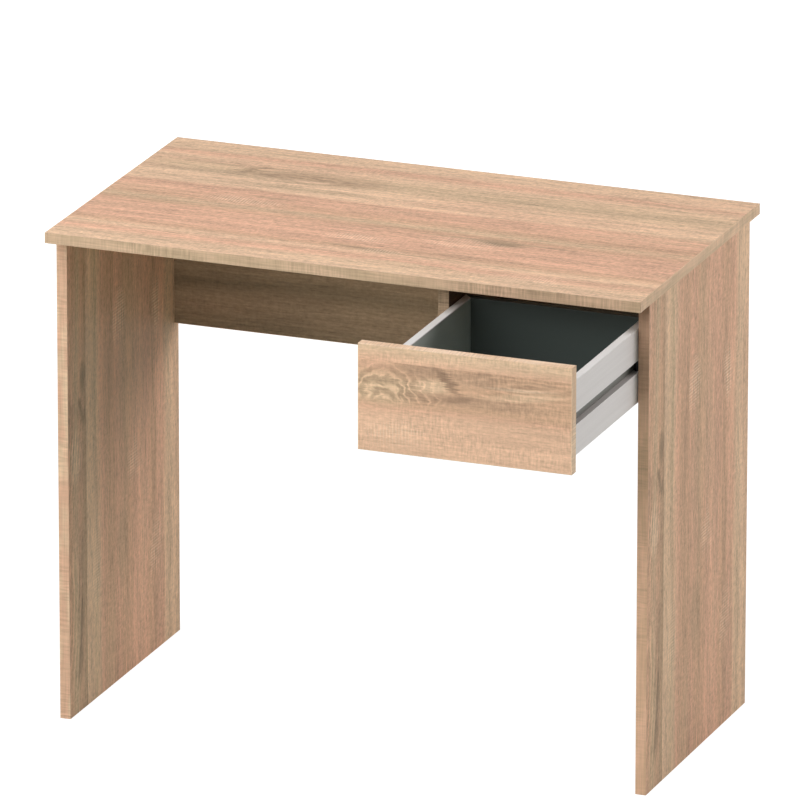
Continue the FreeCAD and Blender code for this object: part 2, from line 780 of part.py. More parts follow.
screw = new_body("screw")
add_cylinder(screw, "screw_shank", "screw_diameter / 2", "screw_length - screw_point",
             ("0", "0", "screw_point - screw_length"))
add_cylinder(screw, "screw_head", "screw_head_diameter / 2", "screw_head_height")
add_cone(screw, "screw_tip", "screw_tip_diameter / 2", "screw_diameter / 2", "screw_point",
         ("0", "0", "-screw_length"))
copies(screw, "runner_screws",
       [(x, "runner_front + " + step, "runner_mid", FreeCAD.Rotation(UP, way)) for step in RUNNER_SCREWS
        for x, way in (("divider_right + runner_seat", RIGHT), ("panel_inner - runner_seat", LEFT))])
copies(screw, "plug_screws",
       [(x, "front_back + plug_base", z, FreeCAD.Rotation(UP, REAR)) for x, z in plug_places])


# Cam locks, bolts, caps and dowels

cam = new_body("cam")
add_cylinder(cam, "cam_disc", "cam_diameter / 2", "cam_height", ("0", "0", "-cam_height"))
add_cylinder(cam, "cam_cavity", "bolt_head_diameter / 2 + cam_cavity_play",
             "cam_cavity_depth + cam_diameter / 2 + overrun",
             ("-cam_cavity_depth", "0", "-board / 2"), RIGHT, cut=True)
add_box(cam, "cam_cross_long", "cross_length", "cross_width", "cross_depth + overrun",
        ("-cross_length / 2", "-cross_width / 2", "-cross_depth"), cut=True)
add_box(cam, "cam_cross_wide", "cross_width", "cross_length", "cross_depth + overrun",
        ("-cross_width / 2", "-cross_length / 2", "-cross_depth"), cut=True)

bolt = new_body("bolt")
add_cylinder(bolt, "bolt_head", "bolt_head_diameter / 2", "bolt_head_length",
             ("0", "0", "-bolt_head_length / 2"))
add_cylinder(bolt, "bolt_neck", "bolt_neck_diameter / 2", "bolt_neck_length",
             ("0", "0", "bolt_head_length / 2"))
add_cylinder(bolt, "bolt_shank", "bolt_shank_diameter / 2",
             "cam_setback - bolt_head_length / 2 - bolt_neck_length",
             ("0", "0", "bolt_head_length / 2 + bolt_neck_length"))
add_cylinder(bolt, "bolt_thread", "bolt_thread_diameter / 2", "bolt_thread_length", ("0", "0", "cam_setback"))

cap = new_body("cap")
add_cylinder(cap, "cap_disc", "cap_diameter / 2", "cap_thickness - cap_bevel")
add_cone(cap, "cap_rim", "cap_diameter / 2", "cap_diameter / 2 - cap_bevel", "cap_bevel",
         ("0", "0", "cap_thickness - cap_bevel"))

dowel = new_body("dowel")
add_cylinder(dowel, "dowel_rod", "dowel_diameter / 2", "dowel_edge_length + dowel_face_length",
             ("0", "0", "-dowel_edge_length"))


def on_face(places, face):
    """The place on a board's face over a place on its middle layer."""
    return tuple("%s + %d * board / 2" % (text, step) for text, step in zip(places, face))


cam_places = []
cap_places = []
bolt_places = []
for x, y, z, face, along in CAM_JOINTS:
    spot = on_face((x, y, z), face)
    cam_places.append(spot + (FreeCAD.Rotation(along, face.cross(along), face, "ZXY"),))
    cap_places.append(spot + (FreeCAD.Rotation(UP, face),))
    bolt_places.append((x, y, z, FreeCAD.Rotation(UP, along)))
copies(cam, "cam_locks", cam_places)
copies(cap, "cam_caps", cap_places)
copies(bolt, "cam_bolts", bolt_places)
copies(dowel, "dowels", [(x, y, z, FreeCAD.Rotation(UP, along)) for x, y, z, along in DOWEL_JOINTS])


# Check everything, then write one file for each sub-part

doc.recompute()
for thing in doc.Objects:
    if "Invalid" in thing.State or "Error" in thing.State:
        raise ValueError("%s failed: %s" % (thing.Label, thing.State))
for thing in nodes:
    if thing.Shape.isNull() or not thing.Shape.isValid() or not thing.Shape.Solids:
        raise ValueError(thing.Label + " has no sound shape")

os.makedirs("parts", exist_ok=True)
for thing in nodes:
    thing.Shape.exportStep("parts/%s.step" % thing.Label)
    centimetres = thing.Shape.Volume / CUBIC_CENTIMETRE
    print("%s: %d solid(s), %.1f cm3" % (thing.Label, len(thing.Shape.Solids), centimetres))
print("%d sub-parts" % len(nodes))
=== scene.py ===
"""Looks of a computer desk of oak-look board with one open drawer.

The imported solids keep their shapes. Each gets a finish made of shader nodes: printed oak on the boards and
their edge bands, plastic on the drawer box and runners, metal, wood and plastic on the hidden fittings.
"""
import logging
import math
from dataclasses import dataclass
from enum import Enum
from typing import Any, Iterable, Sequence, Union

import bpy
from mathutils import Matrix, Vector

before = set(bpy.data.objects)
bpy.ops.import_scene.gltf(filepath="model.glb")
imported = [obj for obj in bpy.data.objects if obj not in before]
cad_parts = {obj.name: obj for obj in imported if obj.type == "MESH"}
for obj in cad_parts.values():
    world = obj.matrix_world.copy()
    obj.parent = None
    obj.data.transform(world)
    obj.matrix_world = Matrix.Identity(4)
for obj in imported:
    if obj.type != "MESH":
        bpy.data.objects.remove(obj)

log = logging.getLogger("desk")

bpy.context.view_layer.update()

Colour = tuple[float, float, float]
Corner = tuple[float, float, float]
Pair = tuple[float, float]
Number = Union[float, "Field"]

WHITE: Colour = (1.0, 1.0, 1.0)
NOISE_MIDDLE = 0.5
# Where one tone starts to turn into another and where that ends, in noise from zero to one
MOTTLE_STEP: Pair = (0.35, 0.65)
WIDE_STEP: Pair = (0.3, 0.7)
# How far a seed of one moves the noise along each axis
SEED_MOVE = (1.0, 1.7, 0.6)


class Axis(Enum):
    """A direction of the desk: X to the right, Y to the rear, Z up."""

    X = 0
    Y = 1
    Z = 2


class Tone(Enum):
    """The tones of the printed oak, as scene-linear colours."""

    PEACH = (0.78, 0.49, 0.336)
    ROSE = (0.727, 0.438, 0.298)
    BLUSH = (0.727, 0.435, 0.297)
    SAND = (0.775, 0.532, 0.357)
    PALE = (0.86, 0.63, 0.45)
    MOSS = (0.66, 0.467, 0.305)
    CLAY = (0.64, 0.395, 0.26)
    UMBER = (0.49, 0.33, 0.215)
    BARK = (0.31, 0.218, 0.14)
    DUSK = (0.515, 0.325, 0.218)
    COCOA = (0.33, 0.206, 0.138)


@dataclass(frozen=True)
class Layer:
    """One layer of soft noise.

    Attributes:
        stretch: Features per metre along two or three axes.
        seed: Moves the layer, so that two of them differ.
        detail: Number of finer layers in it.
        roughness: Share of each finer layer.
    """

    stretch: tuple[float, ...]
    seed: float = 0.0
    detail: float = 2.0
    roughness: float = 0.5


class Field:
    """One output of a shader node, used as a number in sums."""

    def __init__(self, nodes: "NodeTree", socket: bpy.types.NodeSocket) -> None:
        """Wrap one output socket of a node in the given tree."""
        self.nodes = nodes
        self.socket = socket

    def _math(self, operation: str, left: Number, right: Number) -> "Field":
        """Add a Math node."""
        return self.nodes.node("ShaderNodeMath", {"operation": operation}, {0: left, 1: right})

    def __add__(self, other: Number) -> "Field":
        """This field plus another."""
        return self._math("ADD", self, other)

    def __radd__(self, other: Number) -> "Field":
        """A number plus this field."""
        return self._math("ADD", other, self)

    def __sub__(self, other: Number) -> "Field":
        """This field less another."""
        return self._math("SUBTRACT", self, other)

    def __rsub__(self, other: Number) -> "Field":
        """A number less this field."""
        return self._math("SUBTRACT", other, self)

    def __mul__(self, other: Number) -> "Field":
        """This field times another."""
        return self._math("MULTIPLY", self, other)

    def __rmul__(self, other: Number) -> "Field":
        """A number times this field."""
        return self._math("MULTIPLY", other, self)

    def __pow__(self, power: Number) -> "Field":
        """This field to a power."""
        return self._math("POWER", self, power)

    def __abs__(self) -> "Field":
        """This field without its sign."""
        return self._math("ABSOLUTE", self, 0.0)

    def above(self, limit: float) -> "Field":
        """One where this field is above the limit, zero elsewhere."""
        return self._math("GREATER_THAN", self, limit)

    def larger(self, other: Number) -> "Field":
        """The larger of this field and another."""
        return self._math("MAXIMUM", self, other)

    def eased(self, low: float, high: float) -> "Field":
        """A smooth step from zero at low to one at high."""
        sockets = {"Value": self, "From Min": low, "From Max": high}
        return self.nodes.node("ShaderNodeMapRange", {"interpolation_type": "SMOOTHSTEP"}, sockets)


def total(fields: Sequence[Field], weights: Sequence[float]) -> Field:
    """The sum of fields, each times its weight."""
    first, *others = [field * weight for field, weight in zip(fields, weights)]
    return sum(others, first)


class NodeTree:
    """The node tree of a material or of the surroundings."""

    def __init__(self, tree: bpy.types.NodeTree) -> None:
        """Work on that tree."""
        self.tree = tree

    def feed(self, socket: bpy.types.NodeSocket, value: Any) -> None:
        """Link a field to a socket, or set the socket's own value."""
        if isinstance(value, Field):
            self.tree.links.new(value.socket, socket)
        elif socket.type == "RGBA" and len(value) == 3:
            socket.default_value = (*value, 1.0)
        else:
            socket.default_value = value

    def node(self, kind: str, settings: dict[str, Any], sockets: dict[Any, Any], out: Any = 0) -> Field:
        """Add a node.

        Args:
            kind: The node's type.
            settings: Its properties; "stops" fills a colour ramp with positions and colours.
            sockets: Values or fields of its inputs, by name or number.
            out: The output that is used, by name or number.

        Returns:
            The field of that output.
        """
        made = self.tree.nodes.new(kind)
        for word, setting in settings.items():
            if word == "stops":
                self._fill_ramp(made.color_ramp, setting)
            else:
                setattr(made, word, setting)
        for key, value in sockets.items():
            self.feed(made.inputs[key], value)
        return Field(self, made.outputs[out])

    @staticmethod
    def _fill_ramp(ramp: bpy.types.ColorRamp, stops: Sequence[tuple[float, Colour]]) -> None:
        """Give a colour ramp its stops, which are sorted by position."""
        while len(ramp.elements) < len(stops):
            ramp.elements.new(1.0)
        for element, (position, colour) in zip(ramp.elements, stops):
            element.position = position
            element.color = (*colour, 1.0)

    def shows_background(self) -> Field:
        """One on rays from the camera, off gloss and through glass, zero on those that only carry light."""
        camera = self.node("ShaderNodeLightPath", {}, {}, "Is Camera Ray")
        gloss = self.node("ShaderNodeLightPath", {}, {}, "Is Glossy Ray")
        glass = self.node("ShaderNodeLightPath", {}, {}, "Is Transmission Ray")
        return camera + gloss + glass


class FinishNodes(NodeTree):
    """The node tree of one material with a Principled shader."""

    def __init__(self, name: str) -> None:
        """Start a material of that name."""
        self.material = bpy.data.materials.new(name)
        self.material.use_nodes = True
        super().__init__(self.material.node_tree)
        self.shader = self.tree.nodes["Principled BSDF"]

    def place(self) -> list[Field]:
        """The three coordinates on the piece, in metres; they move with it."""
        spot = self.node("ShaderNodeTexCoord", {}, {}, "Object")
        return [self.node("ShaderNodeSeparateXYZ", {}, {0: spot}, axis.value) for axis in Axis]

    def facing(self) -> list[Field]:
        """How far the surface looks along each axis, with sign."""
        normal = self.node("ShaderNodeTexCoord", {}, {}, "Normal")
        return [self.node("ShaderNodeSeparateXYZ", {}, {0: normal}, axis.value) for axis in Axis]

    def spot(self, along: Number, across: Number, depth: Number = 0.0) -> Field:
        """A vector of two or three coordinates."""
        return self.node("ShaderNodeCombineXYZ", {}, {0: along, 1: across, 2: depth})

    def noise(self, spot: Field, layer: Layer, seed: float = 0.0) -> Field:
        """Soft noise from zero to one.

        Args:
            spot: Where it is looked up.
            layer: Its size and detail.
            seed: Moves it further, so that two boards differ.

        Returns:
            The noise as a field.
        """
        axes = len(layer.stretch)
        scale = layer.stretch + (1.0,) * (3 - axes)
        start = tuple(move * (layer.seed + seed) for move in SEED_MOVE)
        moved = self.node("ShaderNodeMapping", {"vector_type": "POINT"},
                          {"Vector": spot, "Scale": scale, "Location": start})
        sockets = {"Vector": moved, "Scale": 1.0, "Detail": layer.detail, "Roughness": layer.roughness}
        return self.node("ShaderNodeTexNoise", {"noise_dimensions": f"{axes}D"}, sockets)

    def mix(self, share: Number, below: Any, above: Any) -> Field:
        """A colour between two, by a share from zero to one."""
        return self.node("ShaderNodeMix", {"data_type": "RGBA"}, {0: share, 6: below, 7: above}, 2)

    def shade(self, colour: Any, factor: Field) -> Field:
        """A colour made lighter or darker by a factor."""
        return self.node("ShaderNodeVectorMath", {"operation": "SCALE"}, {0: colour, "Scale": factor})

    def finish(self, colour: Any, roughness: Number, height: Field, depth: float,
               metallic: float = 0.0, specular: float = 0.4) -> bpy.types.Material:
        """Feed the shader.

        Args:
            colour: Base colour.
            roughness: Roughness of the surface.
            height: Relief, about one from its lowest to its highest place.
            depth: Height of the relief in metres.
            metallic: One for bare metal.
            specular: Strength of the sheen.

        Returns:
            The finished material.
        """
        self.feed(self.shader.inputs["Base Color"], colour)
        self.feed(self.shader.inputs["Roughness"], roughness)
        self.shader.inputs["Metallic"].default_value = metallic
        self.shader.inputs["Specular IOR Level"].default_value = specular
        bump = self.node("ShaderNodeBump", {}, {"Strength": 1.0, "Distance": depth, "Height": height})
        self.feed(self.shader.inputs["Normal"], bump)
        return self.material


@dataclass(frozen=True)
class Mark:
    """A soft spot of another tone, drawn out along the grain; sizes in metres.

    Attributes:
        along: Middle of the spot along the grain.
        across: Middle of the spot across the grain.
        half_length: From its middle to its rim along the grain.
        half_width: From its middle to its rim across the grain.
        tone: Colour at its middle.
        strength: Share of that colour.
        tilt: Turn away from the grain, in degrees.
        ticked: Whether it shows only as short saw marks.
    """

    along: float
    across: float
    half_length: float
    half_width: float
    tone: Tone
    strength: float
    tilt: float = 0.0
    ticked: bool = False


@dataclass(frozen=True)
class Swirl:
    """Nested year rings cut at a slant, around a place on the board; sizes in metres.

    Attributes:
        along: Middle of the rings along the grain.
        across: Middle of the rings across the grain.
        pitch_along: From ring to ring along the grain.
        pitch_across: From ring to ring across the grain.
        reach_along: How far the rings show along the grain.
        reach_across: How far the rings show across the grain.
        contrast: Lightest less darkest, as a share of the colour.
        tilt: Turn away from the grain, in degrees.
        low: Place across the grain below which no ring shows.
        stray: How far the rings stray from their shape.
    """

    along: float
    across: float
    pitch_along: float
    pitch_across: float
    reach_along: float
    reach_across: float
    contrast: float
    tilt: float = 0.0
    low: float = -1.0
    stray: float = 5.0


@dataclass(frozen=True)
class PaintedShade:
    """The part of a board inside a box, printed darker as painted shade.

    Attributes:
        low: Lowest corner of the box, in metres.
        high: Highest corner of the box.
        factor: Share of the light that it keeps.
        soft: From the box's rim to full strength, in metres.
    """

    low: Corner
    high: Corner
    factor: float
    soft: float = 0.001

    def light(self, place: list[Field]) -> Field:
        """The factor inside the box, one outside."""
        inside: Number = 1.0
        for spot, low, high in zip(place, self.low, self.high):
            inside = inside * spot.eased(low, low + self.soft) * spot.eased(high, high - self.soft)
        return 1.0 - inside * (1.0 - self.factor)


@dataclass(frozen=True)
class OakFigure:
    """How the print lies on one kind of board.

    Attributes:
        name: Name of the material.
        grain: Axis that the grain runs along.
        across: Axis across the grain, on the board's face.
        face: Axis that the board's faces look along.
        span: Lowest and highest place across the grain.
        staves: Tone of each stave, by its place from zero to one across the span.
        marks: Knots and streaks.
        swirls: Nested rings.
        seed: Sets this board apart from the others.
        saw_contrast: Strength of the saw marks.
        grain_share: Strength of streaks, fibres and grit, as a share of the print's own.
        hue_share: Strength of the drift between pink and green, as a share of the print's own.
        joint: Place across the grain of a straight joint between two staves.
        far_staves: Tones beyond that joint; there is no joint if it's empty.
        ragged: How far staves, marks and rings stray, as a share of the print's own.
        painted_shades: Parts printed darker, as painted shade.
    """

    name: str
    grain: Axis
    across: Axis
    face: Axis
    span: Pair
    staves: tuple[tuple[float, Tone], ...]
    marks: tuple[Mark, ...]
    swirls: tuple[Swirl, ...]
    seed: float
    saw_contrast: float = 0.3
    grain_share: float = 1.0
    hue_share: float = 1.0
    joint: float = 0.0
    far_staves: tuple[tuple[float, Tone], ...] = ()
    ragged: float = 1.0
    painted_shades: tuple[PaintedShade, ...] = ()


@dataclass(frozen=True)
class OakPrint:
    """Printed oak on a chipboard core, with saw marks across the grain: what all boards share.

    The layers of noise come first. Those named "step" say where a layer starts to show and where it shows in
    full. Contrasts are lightest less darkest, as shares of the colour. Lengths are in metres.

    Attributes:
        stray_across: How far wander, streak and fibre push staves and marks across the grain.
        stray_along: How far fibre and streak push marks along the grain.
        bend_across: How far streak, swell and grit push rings across the grain.
        bend_along: How far wander, swell and fibre push rings along the grain.
        saw_floor: Share of the saw marks that shows between their patches.
        ladder_floor: The same for the rungs that ticked marks are made of.
        ladder_pitch: From rung to rung.
        ladder_across: Changes of the rungs per metre across the grain.
        ladder_stray: How far the rungs stray.
        wave_turn: Scale at which a wave texture repeats once per unit.
        stave_shift: How far the print beyond a joint is moved along the grain.
        mark_step: From a mark's rim to its full strength, as shares of its size.
        reach_step: From the outermost ring to full strength, as shares of their reach.
        ring_sharpness: Thinness of the light rings.
        ring_ground: What the rings' ground is darker by, as a share of their contrast.
        ring_fade: From a swirl's lower limit to full strength.
        face_limit: How squarely a surface looks along the board's axis where it's printed.
        core: Colours of the raw chipboard.
        sheen: Strength of the sheen.
        relief: Height of the relief.
        relief_weights: Shares of fibre, saw marks and pores in the relief.
        rough_weights: Shares of streak and fibre in the roughness.
    """

    fibre: Layer = Layer((15.0, 300.0), 0.0, 3.0, 0.65)
    streak: Layer = Layer((3.0, 55.0), 3.1, 4.0, 0.6)
    wander: Layer = Layer((2.6, 5.0), 7.7, 1.0)
    hue: Layer = Layer((1.7, 14.0), 11.3, 3.0)
    saw: Layer = Layer((300.0, 75.0), 17.9)
    patches: Layer = Layer((8.0, 21.0), 23.4, 1.0)
    pores: Layer = Layer((30.0, 360.0), 29.8, 1.0)
    grit: Layer = Layer((110.0, 260.0), 37.2, 3.0, 0.7)
    swell: Layer = Layer((26.0, 48.0), 41.7)
    chips: Layer = Layer((260.0, 260.0, 260.0), 0.0, 3.0, 0.65)
    patch_step: Pair = (0.42, 0.66)
    pore_step: Pair = (0.58, 0.72)
    rose_step: Pair = (0.5, 0.72)
    moss_step: Pair = (0.5, 0.28)
    streak_contrast: float = 0.62
    fibre_contrast: float = 0.68
    grit_contrast: float = 0.82
    rose_contrast: float = 0.4
    moss_contrast: float = 0.3
    pore_contrast: float = 0.13
    stray_across: tuple[float, ...] = (0.028, 0.018, 0.006)
    stray_along: tuple[float, ...] = (0.06, 0.07)
    bend_across: tuple[float, ...] = (0.008, 0.012, 0.003)
    bend_along: tuple[float, ...] = (0.05, 0.055, 0.008)
    saw_floor: float = 0.3
    ladder_floor: float = 0.5
    ladder_pitch: float = 0.0046
    ladder_across: float = 14.0
    ladder_stray: float = 2.2
    ladder_detail: float = 2.0
    ladder_detail_scale: float = 1.2
    ladder_sharpness: float = 2.0
    wave_turn: float = 0.314
    stave_shift: float = 0.37
    mark_step: Pair = (0.0, 0.7)
    reach_step: Pair = (0.0, 0.5)
    ring_detail: float = 3.0
    ring_detail_scale: float = 1.8
    ring_sharpness: float = 2.5
    ring_ground: float = 0.45
    ring_fade: float = 0.012
    face_limit: float = 0.9
    core: tuple[tuple[float, Colour], ...] = (
        (0.3, (0.16, 0.09, 0.045)), (0.5, (0.42, 0.27, 0.15)), (0.7, (0.62, 0.45, 0.28)),
    )
    roughness: float = 0.55
    sheen: float = 0.1
    relief: float = 0.00025
    relief_weights: tuple[float, ...] = (0.5, 0.5, -0.4)
    rough_weights: tuple[float, ...] = (0.12, 0.1)

    def material(self, figure: OakFigure) -> bpy.types.Material:
        """The finish of one kind of board, as its figure says."""
        return OakBoard(self, figure).material()


class OakBoard:
    """The shader nodes of one kind of printed board."""

    def __init__(self, oak: OakPrint, figure: OakFigure) -> None:
        """Lay out the coordinates and the layers that the parts of the print share.

        Args:
            oak: What all boards share.
            figure: How the print lies on this one.
        """
        self.oak = oak
        self.figure = figure
        self.nodes = FinishNodes(figure.name)
        self.place = self.nodes.place()
        self.along = self.place[figure.grain.value]
        self.across = self.place[figure.across.value]
        self.far = self.across.above(figure.joint) if figure.far_staves else None
        shifted = self.along if self.far is None else self.along + self.far * oak.stave_shift
        self.flat = self.nodes.spot(shifted, self.across)
        self.fibre = self._swing(oak.fibre)
        self.streak = self._swing(oak.streak)
        self.wander = self._swing(oak.wander)
        self.grit = self._swing(oak.grit)
        self.patches = self._noise(oak.patches).eased(*oak.patch_step)
        self.pores = self._noise(oak.pores).eased(*oak.pore_step)
        self.tick = self._swing(oak.saw) * self._in_patches(oak.saw_floor)

    def _noise(self, layer: Layer) -> Field:
        """A layer of the print, from zero to one."""
        return self.nodes.noise(self.flat, layer, self.figure.seed)

    def _swing(self, layer: Layer) -> Field:
        """A layer of the print, from minus a half to a half."""
        return self._noise(layer) - NOISE_MIDDLE

    def _in_patches(self, floor: float) -> Field:
        """One in the patches of saw marks, the floor between them."""
        return self.patches * (1.0 - floor) + floor

    def _on_its_side(self, field: Field, across: float) -> Field:
        """The field, kept to the side of the joint where a place across the grain lies."""
        if self.far is None:
            return field
        return field * (self.far if across > self.figure.joint else 1.0 - self.far)

    def _around(self, spot: Field, middle: Pair, size: Pair, tilt: float) -> Field:
        """Coordinates around a place on the board, in shares of a size along and across the grain."""
        sockets = {"Vector": spot, "Location": (*middle, 0.0), "Scale": (*size, 1.0),
                   "Rotation": (0.0, 0.0, math.radians(tilt))}
        return self.nodes.node("ShaderNodeMapping", {"vector_type": "TEXTURE"}, sockets)

    def _round(self, around: Field) -> Field:
        """One at the middle of such coordinates, zero at their rim."""
        return self.nodes.node("ShaderNodeTexGradient", {"gradient_type": "SPHERICAL"}, {0: around}, 1)

    def _staves(self, staves: Sequence[tuple[float, Tone]], across: Field) -> Field:
        """The tones of staves that lie side by side across the grain."""
        low, high = self.figure.span
        share = (across - low) * (1.0 / (high - low))
        stops = [(position, tone.value) for position, tone in staves]
        return self.nodes.node("ShaderNodeValToRGB", {"stops": stops}, {0: share})

    def _ladder(self) -> Field:
        """Rungs across the grain, as a saw leaves them."""
        oak = self.oak
        rungs = self.nodes.spot(self.along * (1.0 / oak.ladder_pitch), self.across * oak.ladder_across)
        sockets = {"Vector": rungs, "Scale": oak.wave_turn, "Distortion": oak.ladder_stray,
                   "Detail": oak.ladder_detail, "Detail Scale": oak.ladder_detail_scale}
        settings = {"wave_type": "BANDS", "bands_direction": "X"}
        wave = self.nodes.node("ShaderNodeTexWave", settings, sockets, 1)
        return wave ** oak.ladder_sharpness * self._in_patches(oak.ladder_floor)

    def _spot(self, ragged: Field, mark: Mark) -> Field:
        """The strength of a mark, from its own at its middle to zero at its rim."""
        size = (mark.half_length, mark.half_width)
        around = self._around(ragged, (mark.along, mark.across), size, mark.tilt)
        return self._round(around).eased(*self.oak.mark_step) * mark.strength

    def _rings(self, bent: Field, swirl: Swirl) -> Field:
        """Thin light rings on a darker ground, fading out at their reach and at their lower limit."""
        oak = self.oak
        middle = (swirl.along, swirl.across)
        around = self._around(bent, middle, (swirl.reach_along, swirl.reach_across), swirl.tilt)
        shown = self._round(around).eased(*oak.reach_step)
        turned = self._around(bent, middle, (swirl.pitch_along, swirl.pitch_across), swirl.tilt)
        sockets = {"Vector": turned, "Scale": oak.wave_turn, "Distortion": swirl.stray,
                   "Detail": oak.ring_detail, "Detail Scale": oak.ring_detail_scale}
        settings = {"wave_type": "RINGS", "rings_direction": "Z"}
        wave = self.nodes.node("ShaderNodeTexWave", settings, sockets, 1)
        rings = (wave ** oak.ring_sharpness - oak.ring_ground) * shown * swirl.contrast
        return rings * self.across.eased(swirl.low, swirl.low + oak.ring_fade)

    def _colour(self) -> Field:
        """The staves with their drift in hue, and the marks on them."""
        oak, figure, nodes = self.oak, self.figure, self.nodes
        sideways = total((self.wander, self.streak, self.fibre), oak.stray_across)
        lengthwise = total((self.fibre, self.streak), oak.stray_along)
        moved_across = self.across + sideways * figure.ragged
        ragged = nodes.spot(self.along + lengthwise * figure.ragged, moved_across)
        colour = self._staves(figure.staves, moved_across)
        if self.far is not None:
            colour = nodes.mix(self.far, colour, self._staves(figure.far_staves, moved_across))
        hue = self._noise(oak.hue)
        rosy = hue.eased(*oak.rose_step) * (oak.rose_contrast * figure.hue_share)
        mossy = hue.eased(*oak.moss_step) * (oak.moss_contrast * figure.hue_share)
        colour = nodes.mix(mossy, nodes.mix(rosy, colour, Tone.ROSE.value), Tone.MOSS.value)
        ladder = self._ladder()
        for mark in figure.marks:
            share = self._spot(ragged, mark)
            if mark.ticked:
                share = share * ladder
            colour = nodes.mix(self._on_its_side(share, mark.across), colour, mark.tone.value)
        return colour

    def _light(self) -> Field:
        """Light and dark of the grain, the saw marks and the rings, and the painted shade of the darker
        parts.
        """
        oak, figure = self.oak, self.figure
        contrasts = (oak.streak_contrast, oak.fibre_contrast, oak.grit_contrast, -oak.pore_contrast)
        grain = total((self.streak, self.fibre, self.grit, self.pores), contrasts)
        light = 1.0 + grain * figure.grain_share + self.tick * figure.saw_contrast
        swell = self._swing(oak.swell)
        bend_along = total((self.wander, swell, self.fibre), oak.bend_along) * figure.ragged
        bend_across = total((self.streak, swell, self.grit), oak.bend_across) * figure.ragged
        bent = self.nodes.spot(self.along + bend_along, self.across + bend_across)
        for swirl in figure.swirls:
            light = light + self._on_its_side(self._rings(bent, swirl), swirl.across)
        # Painted shade: the boxes where the board is printed darker.
        for part in figure.painted_shades:
            light = light * part.light(self.place)
        return light

    def _core(self) -> Field:
        """The raw chipboard of the board's core."""
        chips = self.nodes.noise(self.nodes.spot(*self.place), self.oak.chips, self.figure.seed)
        return self.nodes.node("ShaderNodeValToRGB", {"stops": self.oak.core}, {0: chips})

    def material(self) -> bpy.types.Material:
        """The whole finish: the print on the faces, raw chipboard on cut edges and in bores."""
        oak, nodes = self.oak, self.nodes
        printed = abs(nodes.facing()[self.figure.face.value]).above(oak.face_limit)
        colour = nodes.mix(printed, self._core(), nodes.shade(self._colour(), self._light()))
        height = total((self.fibre, self.tick, self.pores), oak.relief_weights)
        roughness = oak.roughness + total((self.streak, self.fibre), oak.rough_weights)
        return nodes.finish(colour, roughness, height, oak.relief, specular=oak.sheen)


@dataclass(frozen=True)
class OakBand:
    """The thin edge strip, printed like the boards, with fine marks across it.

    Attributes:
        name: Name of the material.
        grain: Axis that the strip runs along.
        across: Axis across the strip.
        tone: One of its two tones.
        other_tone: The other tone.
        seed: Sets this strip apart from the others.
        shade: How light it is printed; on the right side's strips and the divider's front strip this is
            partly painted light and painted shade.
        saw_contrast: Strength of the saw marks.
        painted_shades: Parts printed darker, as painted shade.
        fibre: Fine fibres along the strip.
        drift: Change between the two tones.
        saw: Marks across the strip.
        patches: Where those are strong.
        saw_floor: Share of the saw marks that shows between the patches.
        fibre_contrast: Strength of the fibres.
        rim_step: How far a rounded rim turns away where it starts to turn paler, and where it does in full.
        rim_share: Share of the pale tone on the rim.
        roughness: Roughness of the surface.
        rough_swing: How much the fibres change it.
        fibre_relief: Share of the fibres in the relief.
        relief: Height of the relief in metres.
        sheen: Strength of the sheen.
    """

    name: str
    grain: Axis
    across: Axis
    tone: Tone
    other_tone: Tone
    seed: float
    shade: float = 1.0
    saw_contrast: float = 0.75
    painted_shades: tuple[PaintedShade, ...] = ()
    fibre: Layer = Layer((14.0, 420.0), 0.0, 3.0, 0.6)
    drift: Layer = Layer((13.0, 45.0), 5.2)
    saw: Layer = Layer((330.0, 30.0), 9.1)
    patches: Layer = Layer((9.0, 10.0), 13.6, 1.0)
    saw_floor: float = 0.3
    fibre_contrast: float = 0.4
    rim_step: Pair = (0.05, 0.3)
    rim_share: float = 0.25
    roughness: float = 0.48
    rough_swing: float = 0.1
    fibre_relief: float = 0.5
    relief: float = 0.0002
    sheen: float = 0.1

    def material(self) -> bpy.types.Material:
        """The finish of one strip."""
        nodes = FinishNodes(self.name)
        place = nodes.place()
        flat = nodes.spot(place[self.grain.value], place[self.across.value])
        fibre = nodes.noise(flat, self.fibre, self.seed) - NOISE_MIDDLE
        drift = nodes.noise(flat, self.drift, self.seed).eased(*MOTTLE_STEP)
        patches = nodes.noise(flat, self.patches, self.seed).eased(*MOTTLE_STEP)
        tick = nodes.noise(flat, self.saw, self.seed) - NOISE_MIDDLE
        tick = tick * (patches * (1.0 - self.saw_floor) + self.saw_floor)
        light = self.shade + fibre * self.fibre_contrast + tick * self.saw_contrast
        # Painted shade: the boxes where the strip is printed darker.
        for part in self.painted_shades:
            light = light * part.light(place)
        colour = nodes.shade(nodes.mix(drift, self.tone.value, self.other_tone.value), light)
        side, front, upper = [abs(way) for way in nodes.facing()]
        rim = (1.0 - side.larger(front).larger(upper)).eased(*self.rim_step)
        colour = nodes.mix(rim * self.rim_share, colour, Tone.PALE.value)
        roughness = self.roughness + fibre * self.rough_swing
        height = fibre * self.fibre_relief + tick
        return nodes.finish(colour, roughness, height, self.relief, specular=self.sheen)


@dataclass(frozen=True)
class PaintedShadeFace:
    """The part of a piece that lies within a reach of a place along an axis, and the painted shade on it.

    Attributes:
        axis: The axis.
        middle: The place along it, in metres.
        reach: How far the part reaches to both sides.
        shade_tint: Its colour, painted shade.
    """

    axis: Axis
    middle: float
    reach: float
    shade_tint: Colour


